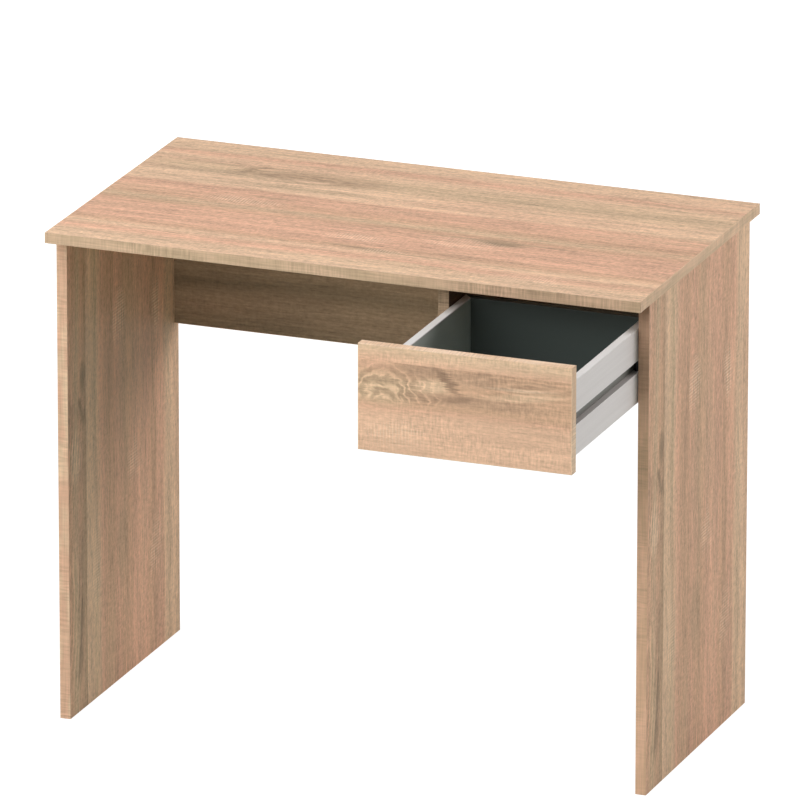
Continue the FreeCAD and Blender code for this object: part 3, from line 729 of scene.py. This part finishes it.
@dataclass(frozen=True)
class Plastic:
    """Moulded or extruded plastic with a fine grain.

    Attributes:
        name: Name of the material.
        colour: One of its two close tones.
        shade: The other tone.
        roughness: Roughness of the surface.
        draw: Axis that the plastic was drawn along.
        inner: A part tinted with painted shade, if there is one.
        grain: Specks per metre.
        lines_across: Drawing lines per metre across the draw.
        lines_along: Changes of those lines per metre along the draw.
        lines_seed: Moves the lines.
        specks_seed: Moves the specks.
        mottle_weights: Shares of lines and specks in the mottle of the two tones.
        rough_weights: Shares of lines and specks in the roughness.
        relief_weights: Shares of lines and specks in the relief.
        relief: Height of the relief in metres.
    """

    name: str
    colour: Colour
    shade: Colour
    roughness: float
    draw: Axis
    inner: Union[PaintedShadeFace, None] = None
    grain: float = 900.0
    lines_across: float = 150.0
    lines_along: float = 3.0
    lines_seed: float = 2.4
    specks_seed: float = 6.3
    mottle_weights: Pair = (0.6, 0.4)
    rough_weights: Pair = (0.1, 0.15)
    relief_weights: Pair = (0.4, 0.6)
    relief: float = 0.00012

    def material(self) -> bpy.types.Material:
        """The finish, with faint lines along the way the plastic was drawn."""
        nodes = FinishNodes(self.name)
        place = nodes.place()
        spot = nodes.spot(*place)
        stretch = tuple(self.lines_along if axis is self.draw else self.lines_across for axis in Axis)
        lines = nodes.noise(spot, Layer(stretch, self.lines_seed))
        specks = nodes.noise(spot, Layer((self.grain,) * 3, self.specks_seed))
        mottle = total((lines, specks), self.mottle_weights).eased(*MOTTLE_STEP)
        colour = self.colour_field(nodes, place, mottle)
        swings = (lines - NOISE_MIDDLE, specks - NOISE_MIDDLE)
        roughness = self.roughness + total(swings, self.rough_weights)
        return nodes.finish(colour, roughness, total(swings, self.relief_weights), self.relief)

    def colour_field(self, nodes: FinishNodes, place: list[Field], mottle: Field) -> Field:
        """The plastic's two close tones, mixed by a mottle, and the painted shade of its inner face."""
        plain = nodes.mix(mottle, self.colour, self.shade)
        if self.inner is None:
            return plain
        # Painted shade on the inner part.
        outside = abs(place[self.inner.axis.value] - self.inner.middle).above(self.inner.reach)
        return nodes.mix(outside, self.inner.shade_tint, plain)


@dataclass(frozen=True)
class ProfilePlastic(Plastic):
    """The drawer sides' plastic, with painted shade in the groove that the runner slides in and on the upper
    rim; sizes in metres.

    Attributes:
        groove_low: Lower edge of the groove.
        groove_high: Upper edge of the groove.
        groove_shade: Colour in the groove, painted shade.
        box_middle: Middle of the drawer box, along X.
        groove_reach: From that middle to just short of the groove's floor.
        rim_low: Height above which the upper rim starts.
        rim_shade: Colour of the upper rim, painted shade.
    """

    groove_low: float = 0.627
    groove_high: float = 0.6446
    groove_shade: Colour = (0.165, 0.168, 0.15)
    box_middle: float = 0.291
    groove_reach: float = 0.1305
    rim_low: float = 0.6905
    rim_shade: Colour = (0.74, 0.715, 0.7)

    def colour_field(self, nodes: FinishNodes, place: list[Field], mottle: Field) -> Field:
        """The plastic's colour, with painted shade between the groove's two edges and on the upper rim."""
        height = place[Axis.Z.value]
        plain = super().colour_field(nodes, place, mottle)
        # Painted shade on the upper rim.
        plain = nodes.mix(height.above(self.rim_low), plain, self.rim_shade)
        # Painted shade in the groove.
        level = height.above(self.groove_low) * (1.0 - height.above(self.groove_high))
        outside = abs(place[Axis.X.value] - self.box_middle).above(self.groove_reach)
        return nodes.mix(level * outside, plain, self.groove_shade)


@dataclass(frozen=True)
class Metal:
    """Plated or cast metal.

    Attributes:
        name: Name of the material.
        colour: One of its two tones.
        shade: The other tone.
        roughness: Roughness of the surface.
        grain: Spots per metre.
        seed: Moves the spots.
        rough_swing: How much the spots change the roughness.
        relief: Height of the relief in metres.
    """

    name: str
    colour: Colour
    shade: Colour
    roughness: float
    grain: float
    seed: float = 4.4
    rough_swing: float = 0.3
    relief: float = 0.0001

    def material(self) -> bpy.types.Material:
        """The finish, mottled at the scale of its grain."""
        nodes = FinishNodes(self.name)
        spots = nodes.noise(nodes.spot(*nodes.place()), Layer((self.grain,) * 3, self.seed, 3.0, 0.6))
        colour = nodes.mix(spots.eased(*MOTTLE_STEP), self.colour, self.shade)
        roughness = self.roughness + (spots - NOISE_MIDDLE) * self.rough_swing
        return nodes.finish(colour, roughness, spots, self.relief, metallic=1.0)


@dataclass(frozen=True)
class PressedFibre:
    """Hardboard sheet, lacquered on its upper face, where the colour also carries painted shade, and bare
    brown below.

    Attributes:
        name: Name of the material.
        lacquer_and_shade: Colour of the upper face: its lacquer, darkened as painted shade.
        bare: Lighter tone of the lower face and the edges.
        specks: Fine specks of both faces.
        clouds: Broad changes of the lower face.
        upper_limit: How squarely a surface looks up where it's lacquered.
        bare_light: Least light of the lower face, and what the clouds add.
        lacquer_light: Least light of the upper face, and what the specks add.
        roughness: Roughness of the surface.
        rough_swing: How much the specks change it.
        relief: Height of the relief in metres.
    """

    name: str
    lacquer_and_shade: Colour
    bare: Colour
    specks: Layer = Layer((700.0, 700.0, 700.0), 3.3, 3.0, 0.6)
    clouds: Layer = Layer((14.0, 14.0, 14.0), 8.8)
    upper_limit: float = 0.5
    bare_light: Pair = (0.9, 0.2)
    lacquer_light: Pair = (0.96, 0.08)
    roughness: float = 0.55
    rough_swing: float = 0.2
    relief: float = 0.00015

    def material(self) -> bpy.types.Material:
        """The finish of the sheet's two faces."""
        nodes = FinishNodes(self.name)
        spot = nodes.spot(*nodes.place())
        specks = nodes.noise(spot, self.specks)
        clouds = nodes.noise(spot, self.clouds)
        brown = nodes.mix(specks.eased(*WIDE_STEP), self.bare, Tone.BARK.value)
        brown = nodes.shade(brown, self.bare_light[0] + clouds * self.bare_light[1])
        grey = nodes.shade(self.lacquer_and_shade, self.lacquer_light[0] + specks * self.lacquer_light[1])
        upper = nodes.facing()[Axis.Z.value].above(self.upper_limit)
        roughness = self.roughness + (specks - NOISE_MIDDLE) * self.rough_swing
        return nodes.finish(nodes.mix(upper, brown, grey), roughness, specks, self.relief)


@dataclass(frozen=True)
class Beech:
    """Plain turned beech of the dowels.

    Attributes:
        name: Name of the material.
        colour: Lighter tone.
        shade: Darker tone.
        fibre: Fine fibres.
        roughness: Roughness of the surface.
        rough_swing: How much the fibres change it.
        relief: Height of the relief in metres.
    """

    name: str = "beech_dowel"
    colour: Colour = (0.62, 0.42, 0.25)
    shade: Colour = (0.48, 0.3, 0.17)
    fibre: Layer = Layer((900.0, 900.0, 900.0), 5.5, 3.0, 0.6)
    roughness: float = 0.6
    rough_swing: float = 0.2
    relief: float = 0.0002

    def material(self) -> bpy.types.Material:
        """The finish, with fine fibres."""
        nodes = FinishNodes(self.name)
        fibre = nodes.noise(nodes.spot(*nodes.place()), self.fibre)
        colour = nodes.mix(fibre.eased(*WIDE_STEP), self.colour, self.shade)
        roughness = self.roughness + (fibre - NOISE_MIDDLE) * self.rough_swing
        return nodes.finish(colour, roughness, fibre, self.relief)


def dress(names: Iterable[str], material: bpy.types.Material) -> None:
    """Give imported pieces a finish.

    Args:
        names: Names of the pieces.
        material: The finish.
    """
    for name in names:
        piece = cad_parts[name]
        piece.data.materials.clear()
        piece.data.materials.append(material)
        log.info("%s: %s", name, material.name)


@dataclass
class Worktop:
    """The top and its four edge bands.

    Attributes:
        half_depth: From the middle of the top to its front edge, in metres.
    """

    half_depth: float = 0.25

    def dress(self, oak: OakPrint) -> None:
        """Print the top with the grain from end to end."""
        staves = (
            (0.0, Tone.SAND), (0.06, Tone.SAND), (0.11, Tone.BLUSH), (0.155, Tone.SAND), (0.19, Tone.CLAY),
            (0.23, Tone.BLUSH), (0.27, Tone.BLUSH), (0.33, Tone.BLUSH), (0.37, Tone.ROSE), (0.4, Tone.CLAY),
            (0.43, Tone.MOSS), (0.47, Tone.CLAY), (0.53, Tone.BLUSH), (0.58, Tone.ROSE), (0.61, Tone.SAND),
            (0.68, Tone.SAND), (0.74, Tone.MOSS), (0.79, Tone.MOSS), (0.84, Tone.SAND), (0.89, Tone.ROSE),
            (0.92, Tone.SAND), (1.0, Tone.SAND),
        )
        marks = (
            Mark(-0.19, 0.125, 0.17, 0.03, Tone.UMBER, 0.85),
            Mark(-0.285, 0.138, 0.035, 0.013, Tone.BARK, 0.5, 55.0),
            Mark(-0.105, 0.13, 0.05, 0.022, Tone.UMBER, 0.8),
            Mark(-0.19, 0.11, 0.06, 0.008, Tone.SAND, 0.8),
            Mark(0.05, 0.13, 0.25, 0.02, Tone.MOSS, 0.7),
            Mark(-0.18, 0.075, 0.15, 0.015, Tone.MOSS, 0.7),
            Mark(-0.21, 0.018, 0.05, 0.006, Tone.UMBER, 0.6),
            Mark(-0.35, -0.046, 0.13, 0.014, Tone.UMBER, 0.55),
            Mark(0.17, -0.066, 0.06, 0.024, Tone.UMBER, 1.0),
            Mark(0.172, -0.068, 0.038, 0.017, Tone.BARK, 0.7),
            Mark(0.165, -0.062, 0.17, 0.007, Tone.UMBER, 0.8),
            Mark(0.125, -0.088, 0.08, 0.032, Tone.PALE, 1.0, ticked=True),
            Mark(-0.24, -0.004, 0.09, 0.024, Tone.PALE, 0.8, ticked=True),
            Mark(-0.03, -0.112, 0.07, 0.026, Tone.PALE, 0.8, ticked=True),
            Mark(0.27, -0.205, 0.08, 0.026, Tone.PALE, 0.8, ticked=True),
            Mark(-0.002, -0.159, 0.085, 0.015, Tone.UMBER, 0.6, -7.0),
            Mark(-0.02, -0.154, 0.06, 0.007, Tone.BARK, 0.45, -7.0),
            Mark(0.03, -0.163, 0.045, 0.014, Tone.PALE, 0.9, ticked=True),
            Mark(0.14, -0.168, 0.15, 0.003, Tone.UMBER, 0.6),
            Mark(0.085, -0.206, 0.1, 0.009, Tone.MOSS, 0.8),
        )
        swirls = (Swirl(-0.22, 0.122, 0.045, 0.011, 0.13, 0.036, 0.2),)
        span = (-self.half_depth, self.half_depth)
        figure = OakFigure("oak_top", Axis.X, Axis.Y, Axis.Z, span, staves, marks, swirls, 1.3, ragged=0.55)
        dress(["top_panel"], oak.material(figure))
        lengthwise = OakBand("oak_band_top_long", Axis.X, Axis.Z, Tone.SAND, Tone.MOSS, 2.2, shade=0.78)
        dress(["top_band_front", "top_band_rear"], lengthwise.material())
        crosswise = OakBand("oak_band_top_end", Axis.Y, Axis.Z, Tone.SAND, Tone.MOSS, 4.7)
        dress(["top_band_left", "top_band_right"], crosswise.material())


@dataclass
class SidePanels:
    """The two side panels, which are also the legs, and their bands.

    Attributes:
        half_depth: From the middle of a panel to its front edge, in metres.
        joint: Where a stave's straight edge lies, from that middle to the rear.
        painted_drawer_shadow: The upper ends of the right bands, printed darker as painted shadow of the
            open drawer.
    """

    half_depth: float = 0.21
    joint: float = -0.1436
    painted_drawer_shadow: PaintedShade = PaintedShade((-1.0, -1.0, 0.52), (1.0, 1.0, 1.0), 0.6, soft=0.1)

    def dress(self, oak: OakPrint) -> None:
        """Print both panels alike, with the grain upright."""
        staves = (
            (0.0, Tone.ROSE), (0.03, Tone.CLAY), (0.07, Tone.MOSS), (0.11, Tone.CLAY), (0.155, Tone.UMBER),
        )
        far_staves = (
            (0.16, Tone.SAND), (0.2, Tone.SAND), (0.24, Tone.MOSS), (0.255, Tone.SAND), (0.3, Tone.ROSE),
            (0.34, Tone.CLAY), (0.4, Tone.CLAY), (0.44, Tone.BLUSH), (0.5, Tone.CLAY), (0.55, Tone.CLAY),
            (0.6, Tone.BLUSH), (0.65, Tone.ROSE), (0.7, Tone.BLUSH), (0.735, Tone.CLAY), (0.77, Tone.CLAY),
            (0.81, Tone.ROSE), (0.85, Tone.ROSE), (0.88, Tone.SAND), (0.94, Tone.SAND), (1.0, Tone.SAND),
        )
        marks = (
            Mark(0.508, -0.156, 0.035, 0.013, Tone.BARK, 0.8),
            Mark(0.455, -0.16, 0.042, 0.012, Tone.BARK, 0.8, -28.0),
            Mark(0.39, -0.178, 0.05, 0.024, Tone.PALE, 0.45),
            Mark(0.21, -0.156, 0.055, 0.012, Tone.UMBER, 0.9),
            Mark(0.135, -0.162, 0.06, 0.013, Tone.BARK, 0.7, 9.0),
            Mark(0.07, -0.168, 0.04, 0.013, Tone.BARK, 0.6, 9.0),
            Mark(0.21, -0.012, 0.075, 0.03, Tone.UMBER, 0.6),
            Mark(0.554, -0.018, 0.05, 0.036, Tone.PALE, 1.0, ticked=True),
            Mark(0.532, 0.118, 0.045, 0.03, Tone.PALE, 1.0, ticked=True),
            Mark(0.208, -0.118, 0.1, 0.03, Tone.PALE, 1.0, ticked=True),
            Mark(0.315, 0.04, 0.04, 0.035, Tone.PALE, 1.0, ticked=True),
            Mark(0.165, 0.122, 0.06, 0.03, Tone.PALE, 1.0, ticked=True),
        )
        swirls = (Swirl(0.41, -0.24, 0.032, 0.01, 0.11, 0.1, 0.4, 10.0),
                  Swirl(0.14, -0.21, 0.06, 0.011, 0.16, 0.075, 0.3, 6.0))
        span = (-self.half_depth, self.half_depth)
        figure = OakFigure("oak_sides", Axis.Z, Axis.Y, Axis.X, span, staves, marks, swirls, 5.9,
                           joint=self.joint, far_staves=far_staves)
        dress(["side_panel_left", "side_panel_right"], oak.material(figure))
        left_band = OakBand("oak_band_left_side", Axis.Z, Axis.X, Tone.SAND, Tone.ROSE, 6.1, shade=0.94)
        dress(["side_band_front_left", "side_band_rear_left"], left_band.material())
        # The tones are the print; the higher lightness of 1.15 is painted light, and the darker upper ends
        # are painted shadow of the open drawer.
        right_band = OakBand("oak_band_right_side", Axis.Z, Axis.X, Tone.ROSE, Tone.CLAY, 6.9, shade=1.15,
                             saw_contrast=0.5, painted_shades=(self.painted_drawer_shadow,))
        dress(["side_band_front_right", "side_band_rear_right"], right_band.material())


@dataclass
class BackPanel:
    """The back panel and the band under it; sizes in metres.

    Attributes:
        bottom: Lower edge of the panel.
        top: Upper edge of the panel.
        painted_knee_shade: Painted shade on its front face, which lies under the top.
        painted_bay_shade: Deeper painted shade on the part of its front face behind the drawer.
    """

    bottom: float = 0.479
    top: float = 0.729
    # Painted shade: the front face under the top is printed darker.
    painted_knee_shade: PaintedShade = PaintedShade((-1.0, -1.0, 0.0), (1.0, 0.202, 1.0), 0.75)
    # Painted shade: the bay behind the drawer is printed much darker.
    painted_bay_shade: PaintedShade = PaintedShade((0.139, -1.0, 0.5475), (1.0, 0.204, 1.0), 0.2, soft=0.01)

    def dress(self, oak: OakPrint) -> None:
        """Print the panel with the grain lying."""
        # The dark tones are partly the print and partly painted shade of the space under the top.
        staves = (
            (0.0, Tone.BARK), (0.1, Tone.UMBER), (0.2, Tone.UMBER), (0.28, Tone.BARK), (0.36, Tone.UMBER),
            (0.5, Tone.UMBER), (0.6, Tone.MOSS), (0.7, Tone.UMBER), (0.8, Tone.BARK), (0.88, Tone.UMBER),
            (1.0, Tone.UMBER),
        )
        span = (self.bottom, self.top)
        figure = OakFigure("oak_back", Axis.X, Axis.Z, Axis.Y, span, staves, (), (), 8.4,
                           grain_share=0.8, painted_shades=(self.painted_knee_shade, self.painted_bay_shade))
        dress(["back_panel"], oak.material(figure))
        band = OakBand("oak_band_back", Axis.X, Axis.Y, Tone.MOSS, Tone.ROSE, 9.9)
        dress(["back_band_lower"], band.material())


@dataclass
class Divider:
    """The divider that closes the drawer bay, and its bands; sizes in metres.

    Attributes:
        bottom: Lower edge of the divider.
        top: Upper edge of the divider.
        painted_bay_shade: Painted shade on its face towards the drawer.
    """

    bottom: float = 0.5725
    top: float = 0.729
    # Painted shade: the divider's face in the drawer bay is printed much darker.
    painted_bay_shade: PaintedShade = PaintedShade((0.141, -1.0, 0.0), (1.0, 1.0, 1.0), 0.2)

    def dress(self, oak: OakPrint) -> None:
        """Print the divider with the grain from front to rear."""
        staves = (
            (0.0, Tone.CLAY), (0.2, Tone.MOSS), (0.4, Tone.UMBER), (0.6, Tone.CLAY), (0.8, Tone.UMBER),
            (1.0, Tone.UMBER),
        )
        span = (self.bottom, self.top)
        figure = OakFigure("oak_divider", Axis.Y, Axis.Z, Axis.X, span, staves, (), (), 10.6,
                           painted_shades=(self.painted_bay_shade,))
        dress(["divider_panel"], oak.material(figure))
        # Painted shade: the front band is printed at half lightness, as under the top's overhang.
        upright = OakBand("oak_band_divider_front", Axis.Z, Axis.X, Tone.SAND, Tone.MOSS, 11.4, shade=0.5)
        dress(["divider_band_front"], upright.material())
        lying = OakBand("oak_band_divider_lower", Axis.Y, Axis.X, Tone.SAND, Tone.ROSE, 12.8)
        dress(["divider_band_lower"], lying.material())


@dataclass
class Drawer:
    """The drawer: its front, the box of hollow profile, the sheet below and the fittings inside.

    Attributes:
        bottom: Lower edge of the front, in metres.
        top: Upper edge of the front.
        joint: Height of a stave's straight edge on the front.
        grey: One tone of the box's plastic.
        duller_grey: The other tone.
        gloss: Roughness of the plastic.
        between: Painted shade on the inner faces of the two sides.
        painted_shade_back_wall: Dark painted shade on the inner face of the drawer's back.
    """

    bottom: float = 0.5725
    top: float = 0.7275
    joint: float = 0.705
    grey: Colour = (0.775, 0.73, 0.725)
    duller_grey: Colour = (0.735, 0.69, 0.685)
    gloss: float = 0.42
    # Painted shade: the inner faces of the sides and of the back are tinted darker.
    between: PaintedShadeFace = PaintedShadeFace(Axis.X, 0.291, 0.1287, (0.5, 0.57, 0.53))
    painted_shade_back_wall: PaintedShadeFace = PaintedShadeFace(Axis.Y, -0.4, 0.2525, (0.06, 0.076, 0.07))

    def dress(self, oak: OakPrint) -> None:
        """Give the front its print and the box its plastic."""
        self._dress_front(oak)
        self._dress_box()

    def _dress_front(self, oak: OakPrint) -> None:
        """Print the front with the grain lying, and its bands."""
        staves = (
            (0.0, Tone.PEACH), (0.37, Tone.PEACH), (0.43, Tone.ROSE), (0.48, Tone.CLAY), (0.86, Tone.CLAY),
        )
        far_staves = ((0.85, Tone.ROSE), (0.95, Tone.SAND), (1.0, Tone.SAND))
        marks = (
            Mark(0.165, 0.666, 0.08, 0.03, Tone.MOSS, 0.7),
            Mark(0.152, 0.698, 0.05, 0.009, Tone.ROSE, 0.8),
            Mark(0.3, 0.692, 0.17, 0.016, Tone.DUSK, 0.7),
            Mark(0.3, 0.66, 0.17, 0.012, Tone.DUSK, 0.7),
            Mark(0.2145, 0.6945, 0.038, 0.008, Tone.DUSK, 1.0, -27.0),
            Mark(0.2315, 0.699, 0.032, 0.012, Tone.DUSK, 1.0),
            Mark(0.24, 0.676, 0.042, 0.014, Tone.SAND, 0.9),
            Mark(0.262, 0.687, 0.042, 0.01, Tone.COCOA, 0.9, -39.0),
            Mark(0.2795, 0.6615, 0.04, 0.007, Tone.COCOA, 0.6, 10.0),
            Mark(0.3175, 0.6955, 0.02, 0.012, Tone.DUSK, 1.0),
            Mark(0.36, 0.6965, 0.06, 0.009, Tone.CLAY, 0.6),
            Mark(0.3695, 0.6855, 0.075, 0.003, Tone.PALE, 0.4, 2.0),
            Mark(0.3795, 0.676, 0.08, 0.009, Tone.SAND, 0.6, 6.0),
            Mark(0.4145, 0.6945, 0.016, 0.006, Tone.DUSK, 0.8),
            Mark(0.185, 0.6, 0.06, 0.03, Tone.PALE, 0.6, ticked=True),
        )
        swirls = (Swirl(0.165, 0.63, 0.0125, 0.0165, 0.115, 0.09, 0.45, low=0.644, stray=6.5),
                  Swirl(0.375, 0.69, 0.06, 0.0075, 0.12, 0.035, 0.22))
        span = (self.bottom, self.top)
        figure = OakFigure("oak_drawer_front", Axis.X, Axis.Z, Axis.Y, span, staves, marks, swirls, 14.2,
                           saw_contrast=0.5, grain_share=0.56, hue_share=0.15, joint=self.joint,
                           far_staves=far_staves, ragged=0.55)
        dress(["drawer_front"], oak.material(figure))
        lying = OakBand("oak_band_front_long", Axis.X, Axis.Y, Tone.SAND, Tone.PALE, 15.1, shade=0.95)
        dress(["front_band_upper", "front_band_lower"], lying.material())
        upright = OakBand("oak_band_front_end", Axis.Z, Axis.Y, Tone.SAND, Tone.PALE, 16.6)
        dress(["front_band_left", "front_band_right"], upright.material())

    def _dress_box(self) -> None:
        """Give sides, back, sheet, plugs and inserts their finishes."""
        # The sides carry painted shade on their inner faces, in the groove and on the upper rim.
        sides = ProfilePlastic("grey_profile", self.grey, self.duller_grey, self.gloss, Axis.Y, self.between)
        dress(["drawer_side_left", "drawer_side_right"], sides.material())
        # Painted shade: the back's inner face is near black.
        rear = Plastic("grey_profile_rear", self.grey, self.duller_grey, self.gloss, Axis.X, self.painted_shade_back_wall)
        dress(["drawer_back"], rear.material())
        # Painted shade: the sheet's near-black upper face stands for the dark inside of the drawer.
        sheet = PressedFibre("hardboard_sheet", lacquer_and_shade=(0.05, 0.053, 0.05), bare=(0.36, 0.21, 0.11))
        dress(["drawer_bottom"], sheet.material())
        natural = Plastic("natural_plastic", (0.74, 0.72, 0.66), (0.66, 0.64, 0.58), 0.5, Axis.Y)
        dress(["drawer_plugs", "drawer_corner_inserts"], natural.material())


@dataclass
class Fittings:
    """Runners, screws, cam locks, bolts, caps and dowels.

    Attributes:
        black: Finish of the runners.
        steel: Finish of screws and bolts.
        zinc: Finish of the cam locks.
        caps: Finish of the cover caps.
        beech: Finish of the dowels.
    """

    black: Plastic = Plastic("black_runner", (0.014, 0.014, 0.015), (0.022, 0.022, 0.023), 0.45, Axis.Y)
    steel: Metal = Metal("plated_steel", (0.62, 0.6, 0.56), (0.5, 0.48, 0.45), 0.32, 700.0)
    zinc: Metal = Metal("cast_zinc", (0.5, 0.5, 0.5), (0.38, 0.38, 0.39), 0.48, 420.0)
    caps: Plastic = Plastic("cap_plastic", (0.56, 0.37, 0.24), (0.5, 0.33, 0.21), 0.45, Axis.Z)
    beech: Beech = Beech()

    def dress(self) -> None:
        """Give each kind of fitting its own finish."""
        dress(["runner_left", "runner_right"], self.black.material())
        dress(["runner_screws", "plug_screws", "cam_bolts"], self.steel.material())
        dress(["cam_locks"], self.zinc.material())
        dress(["cam_caps"], self.caps.material())
        dress(["dowels"], self.beech.material())


def way_to(azimuth: float, elevation: float) -> Vector:
    """The direction from the desk to something around it.

    Args:
        azimuth: Way round from the desk's front, towards its right, in degrees.
        elevation: Angle above the horizon, in degrees.

    Returns:
        A vector one metre long.
    """
    side = math.radians(azimuth)
    rise = math.radians(elevation)
    return Vector((math.sin(side) * math.cos(rise), -math.cos(side) * math.cos(rise), math.sin(rise)))


@dataclass(frozen=True)
class SoftBox:
    """A square soft lamp that looks at the desk.

    Attributes:
        name: Name of the lamp.
        azimuth: Way round from the desk's front, in degrees.
        elevation: Angle above the horizon, in degrees.
        level: Light on a surface that faces it, where one shows a colour as it is written.
        colour: Tint of the light.
        size: Width in metres.
        distance: From the place that it looks at, in metres.
        aim: That place.
    """

    name: str
    azimuth: float
    elevation: float
    level: float
    colour: Colour = WHITE
    size: float = 2.5
    distance: float = 4.0
    aim: Corner = (0.0, -0.1, 0.45)

    def build(self) -> None:
        """Hang the lamp up, out of the camera's sight."""
        data = bpy.data.lights.new(self.name, "AREA")
        data.color = self.colour
        data.shape = "SQUARE"
        data.size = self.size
        data.energy = self.level * (math.pi * self.distance) ** 2
        holder = bpy.data.objects.new(self.name, data)
        bpy.context.scene.collection.objects.link(holder)
        back = way_to(self.azimuth, self.elevation)
        holder.location = Vector(self.aim) + back * self.distance
        holder.rotation_mode = "QUATERNION"
        holder.rotation_quaternion = (-back).to_track_quat("-Z", "Y")
        holder.visible_camera = False


@dataclass
class Studio:
    """Camera, floor, lamps and surroundings.

    Attributes:
        eye: Place of the camera in metres.
        azimuth: Way round from the desk's front, towards its right, in degrees.
        elevation: Angle above the horizon, in degrees.
        roll: Turn of the picture, in degrees.
        focal_pixels: Focal length in pixels of the picture.
        picture: Width of the picture in pixels.
        sensor: Width of the sensor in millimetres.
        clip: Nearest and furthest distance that the camera sees, in metres.
        floor_half: From the middle of the floor to its rim, in metres.
        floor_drop: Gap under the desk, so that no faces share a place.
        floor_colour: What the floor sends back to the desk.
        floor_roughness: Roughness of the floor.
        floor_glow: How bright the floor looks; more than one is white.
        shadow_colour: Colour of the part of the floor that takes shadows.
        shadow_share: Share of that part under the desk.
        shadow_reach: From the middle, where shadows end and where they show in full, in metres.
        sky_strength: How much light the surroundings give to the desk.
        lamps: The lamps.
    """

    eye: Corner = (5.850996, -15.183588, 5.820072)
    azimuth: float = 21.0921
    elevation: float = 18.195
    roll: float = 0.0548
    focal_pixels: float = 11960.2
    picture: int = 800
    sensor: float = 36.0
    clip: Pair = (0.1, 200.0)
    floor_half: float = 40.0
    floor_drop: float = 0.0003
    floor_colour: Colour = (0.52, 0.63, 0.575)
    floor_roughness: float = 0.9
    floor_glow: float = 1.32
    shadow_colour: Colour = (0.9, 0.9, 0.9)
    shadow_share: float = 0.3
    shadow_reach: Pair = (3.2, 1.2)
    sky_strength: float = 0.05
    lamps: tuple[SoftBox, ...] = (
        SoftBox("key_box", -27.0, 46.3, 1.55, size=5.0),
        SoftBox("right_box", 122.0, 20.0, 0.505, (1.0, 0.93, 0.918)),
    )

    def camera(self) -> None:
        """Stand the camera where the photograph was taken."""
        data = bpy.data.cameras.new("camera")
        data.sensor_width = self.sensor
        data.lens = self.sensor * self.focal_pixels / self.picture
        data.clip_start, data.clip_end = self.clip
        holder = bpy.data.objects.new("camera", data)
        bpy.context.scene.collection.objects.link(holder)
        back = way_to(self.azimuth, self.elevation)
        turn = (-back).to_track_quat("-Z", "Y").to_matrix().to_4x4()
        holder.matrix_world = (Matrix.Translation(self.eye) @ turn
                               @ Matrix.Rotation(math.radians(self.roll), 4, "Z"))
        bpy.context.scene.camera = holder

    def floor(self) -> None:
        """A wide pale floor that looks white and keeps the desk's shadow."""
        half, level = self.floor_half, -self.floor_drop
        mesh = bpy.data.meshes.new("floor")
        corners = [(-half, -half, level), (half, -half, level), (half, half, level), (-half, half, level)]
        mesh.from_pydata(corners, [], [(0, 1, 2, 3)])
        floor = bpy.data.objects.new("floor", mesh)
        bpy.context.scene.collection.objects.link(floor)
        nodes = FinishNodes("floor")
        nodes.feed(nodes.shader.inputs["Base Color"], self.floor_colour)
        nodes.feed(nodes.shader.inputs["Roughness"], self.floor_roughness)
        white = nodes.node("ShaderNodeEmission", {}, {"Color": WHITE, "Strength": self.floor_glow})
        shadow = nodes.node("ShaderNodeBsdfDiffuse", {}, {"Color": self.shadow_colour})
        side, depth, _ = nodes.place()
        away = (side ** 2.0 + depth ** 2.0) ** 0.5
        share = away.eased(*self.shadow_reach) * self.shadow_share
        seen = nodes.node("ShaderNodeMixShader", {}, {0: share, 1: white, 2: shadow})
        plain = Field(nodes, nodes.shader.outputs[0])
        both = nodes.node("ShaderNodeMixShader", {}, {0: nodes.shows_background(), 1: plain, 2: seen})
        nodes.feed(nodes.tree.nodes["Material Output"].inputs["Surface"], both)
        mesh.materials.append(nodes.material)

    def surroundings(self) -> None:
        """An even pale sky, which shows as white."""
        world = bpy.data.worlds.new("studio")
        bpy.context.scene.world = world
        world.use_nodes = True
        nodes = NodeTree(world.node_tree)
        sky = nodes.node("ShaderNodeBackground", {}, {"Color": WHITE, "Strength": self.sky_strength})
        white = nodes.node("ShaderNodeBackground", {}, {"Color": WHITE, "Strength": 1.0})
        both = nodes.node("ShaderNodeMixShader", {}, {0: nodes.shows_background(), 1: sky, 2: white})
        nodes.feed(world.node_tree.nodes["World Output"].inputs["Surface"], both)

    def build(self) -> None:
        """Set up the whole studio."""
        bpy.context.scene.view_settings.view_transform = "Standard"
        self.camera()
        self.floor()
        self.surroundings()
        for lamp in self.lamps:
            lamp.build()


def main() -> None:
    """Dress the desk and set up the studio."""
    logging.basicConfig(level=logging.INFO, format="%(message)s")
    oak = OakPrint()
    Worktop().dress(oak)
    SidePanels().dress(oak)
    BackPanel().dress(oak)
    Divider().dress(oak)
    Drawer().dress(oak)
    Fittings().dress()
    Studio().build()


if __name__ == "__main__":
    main()
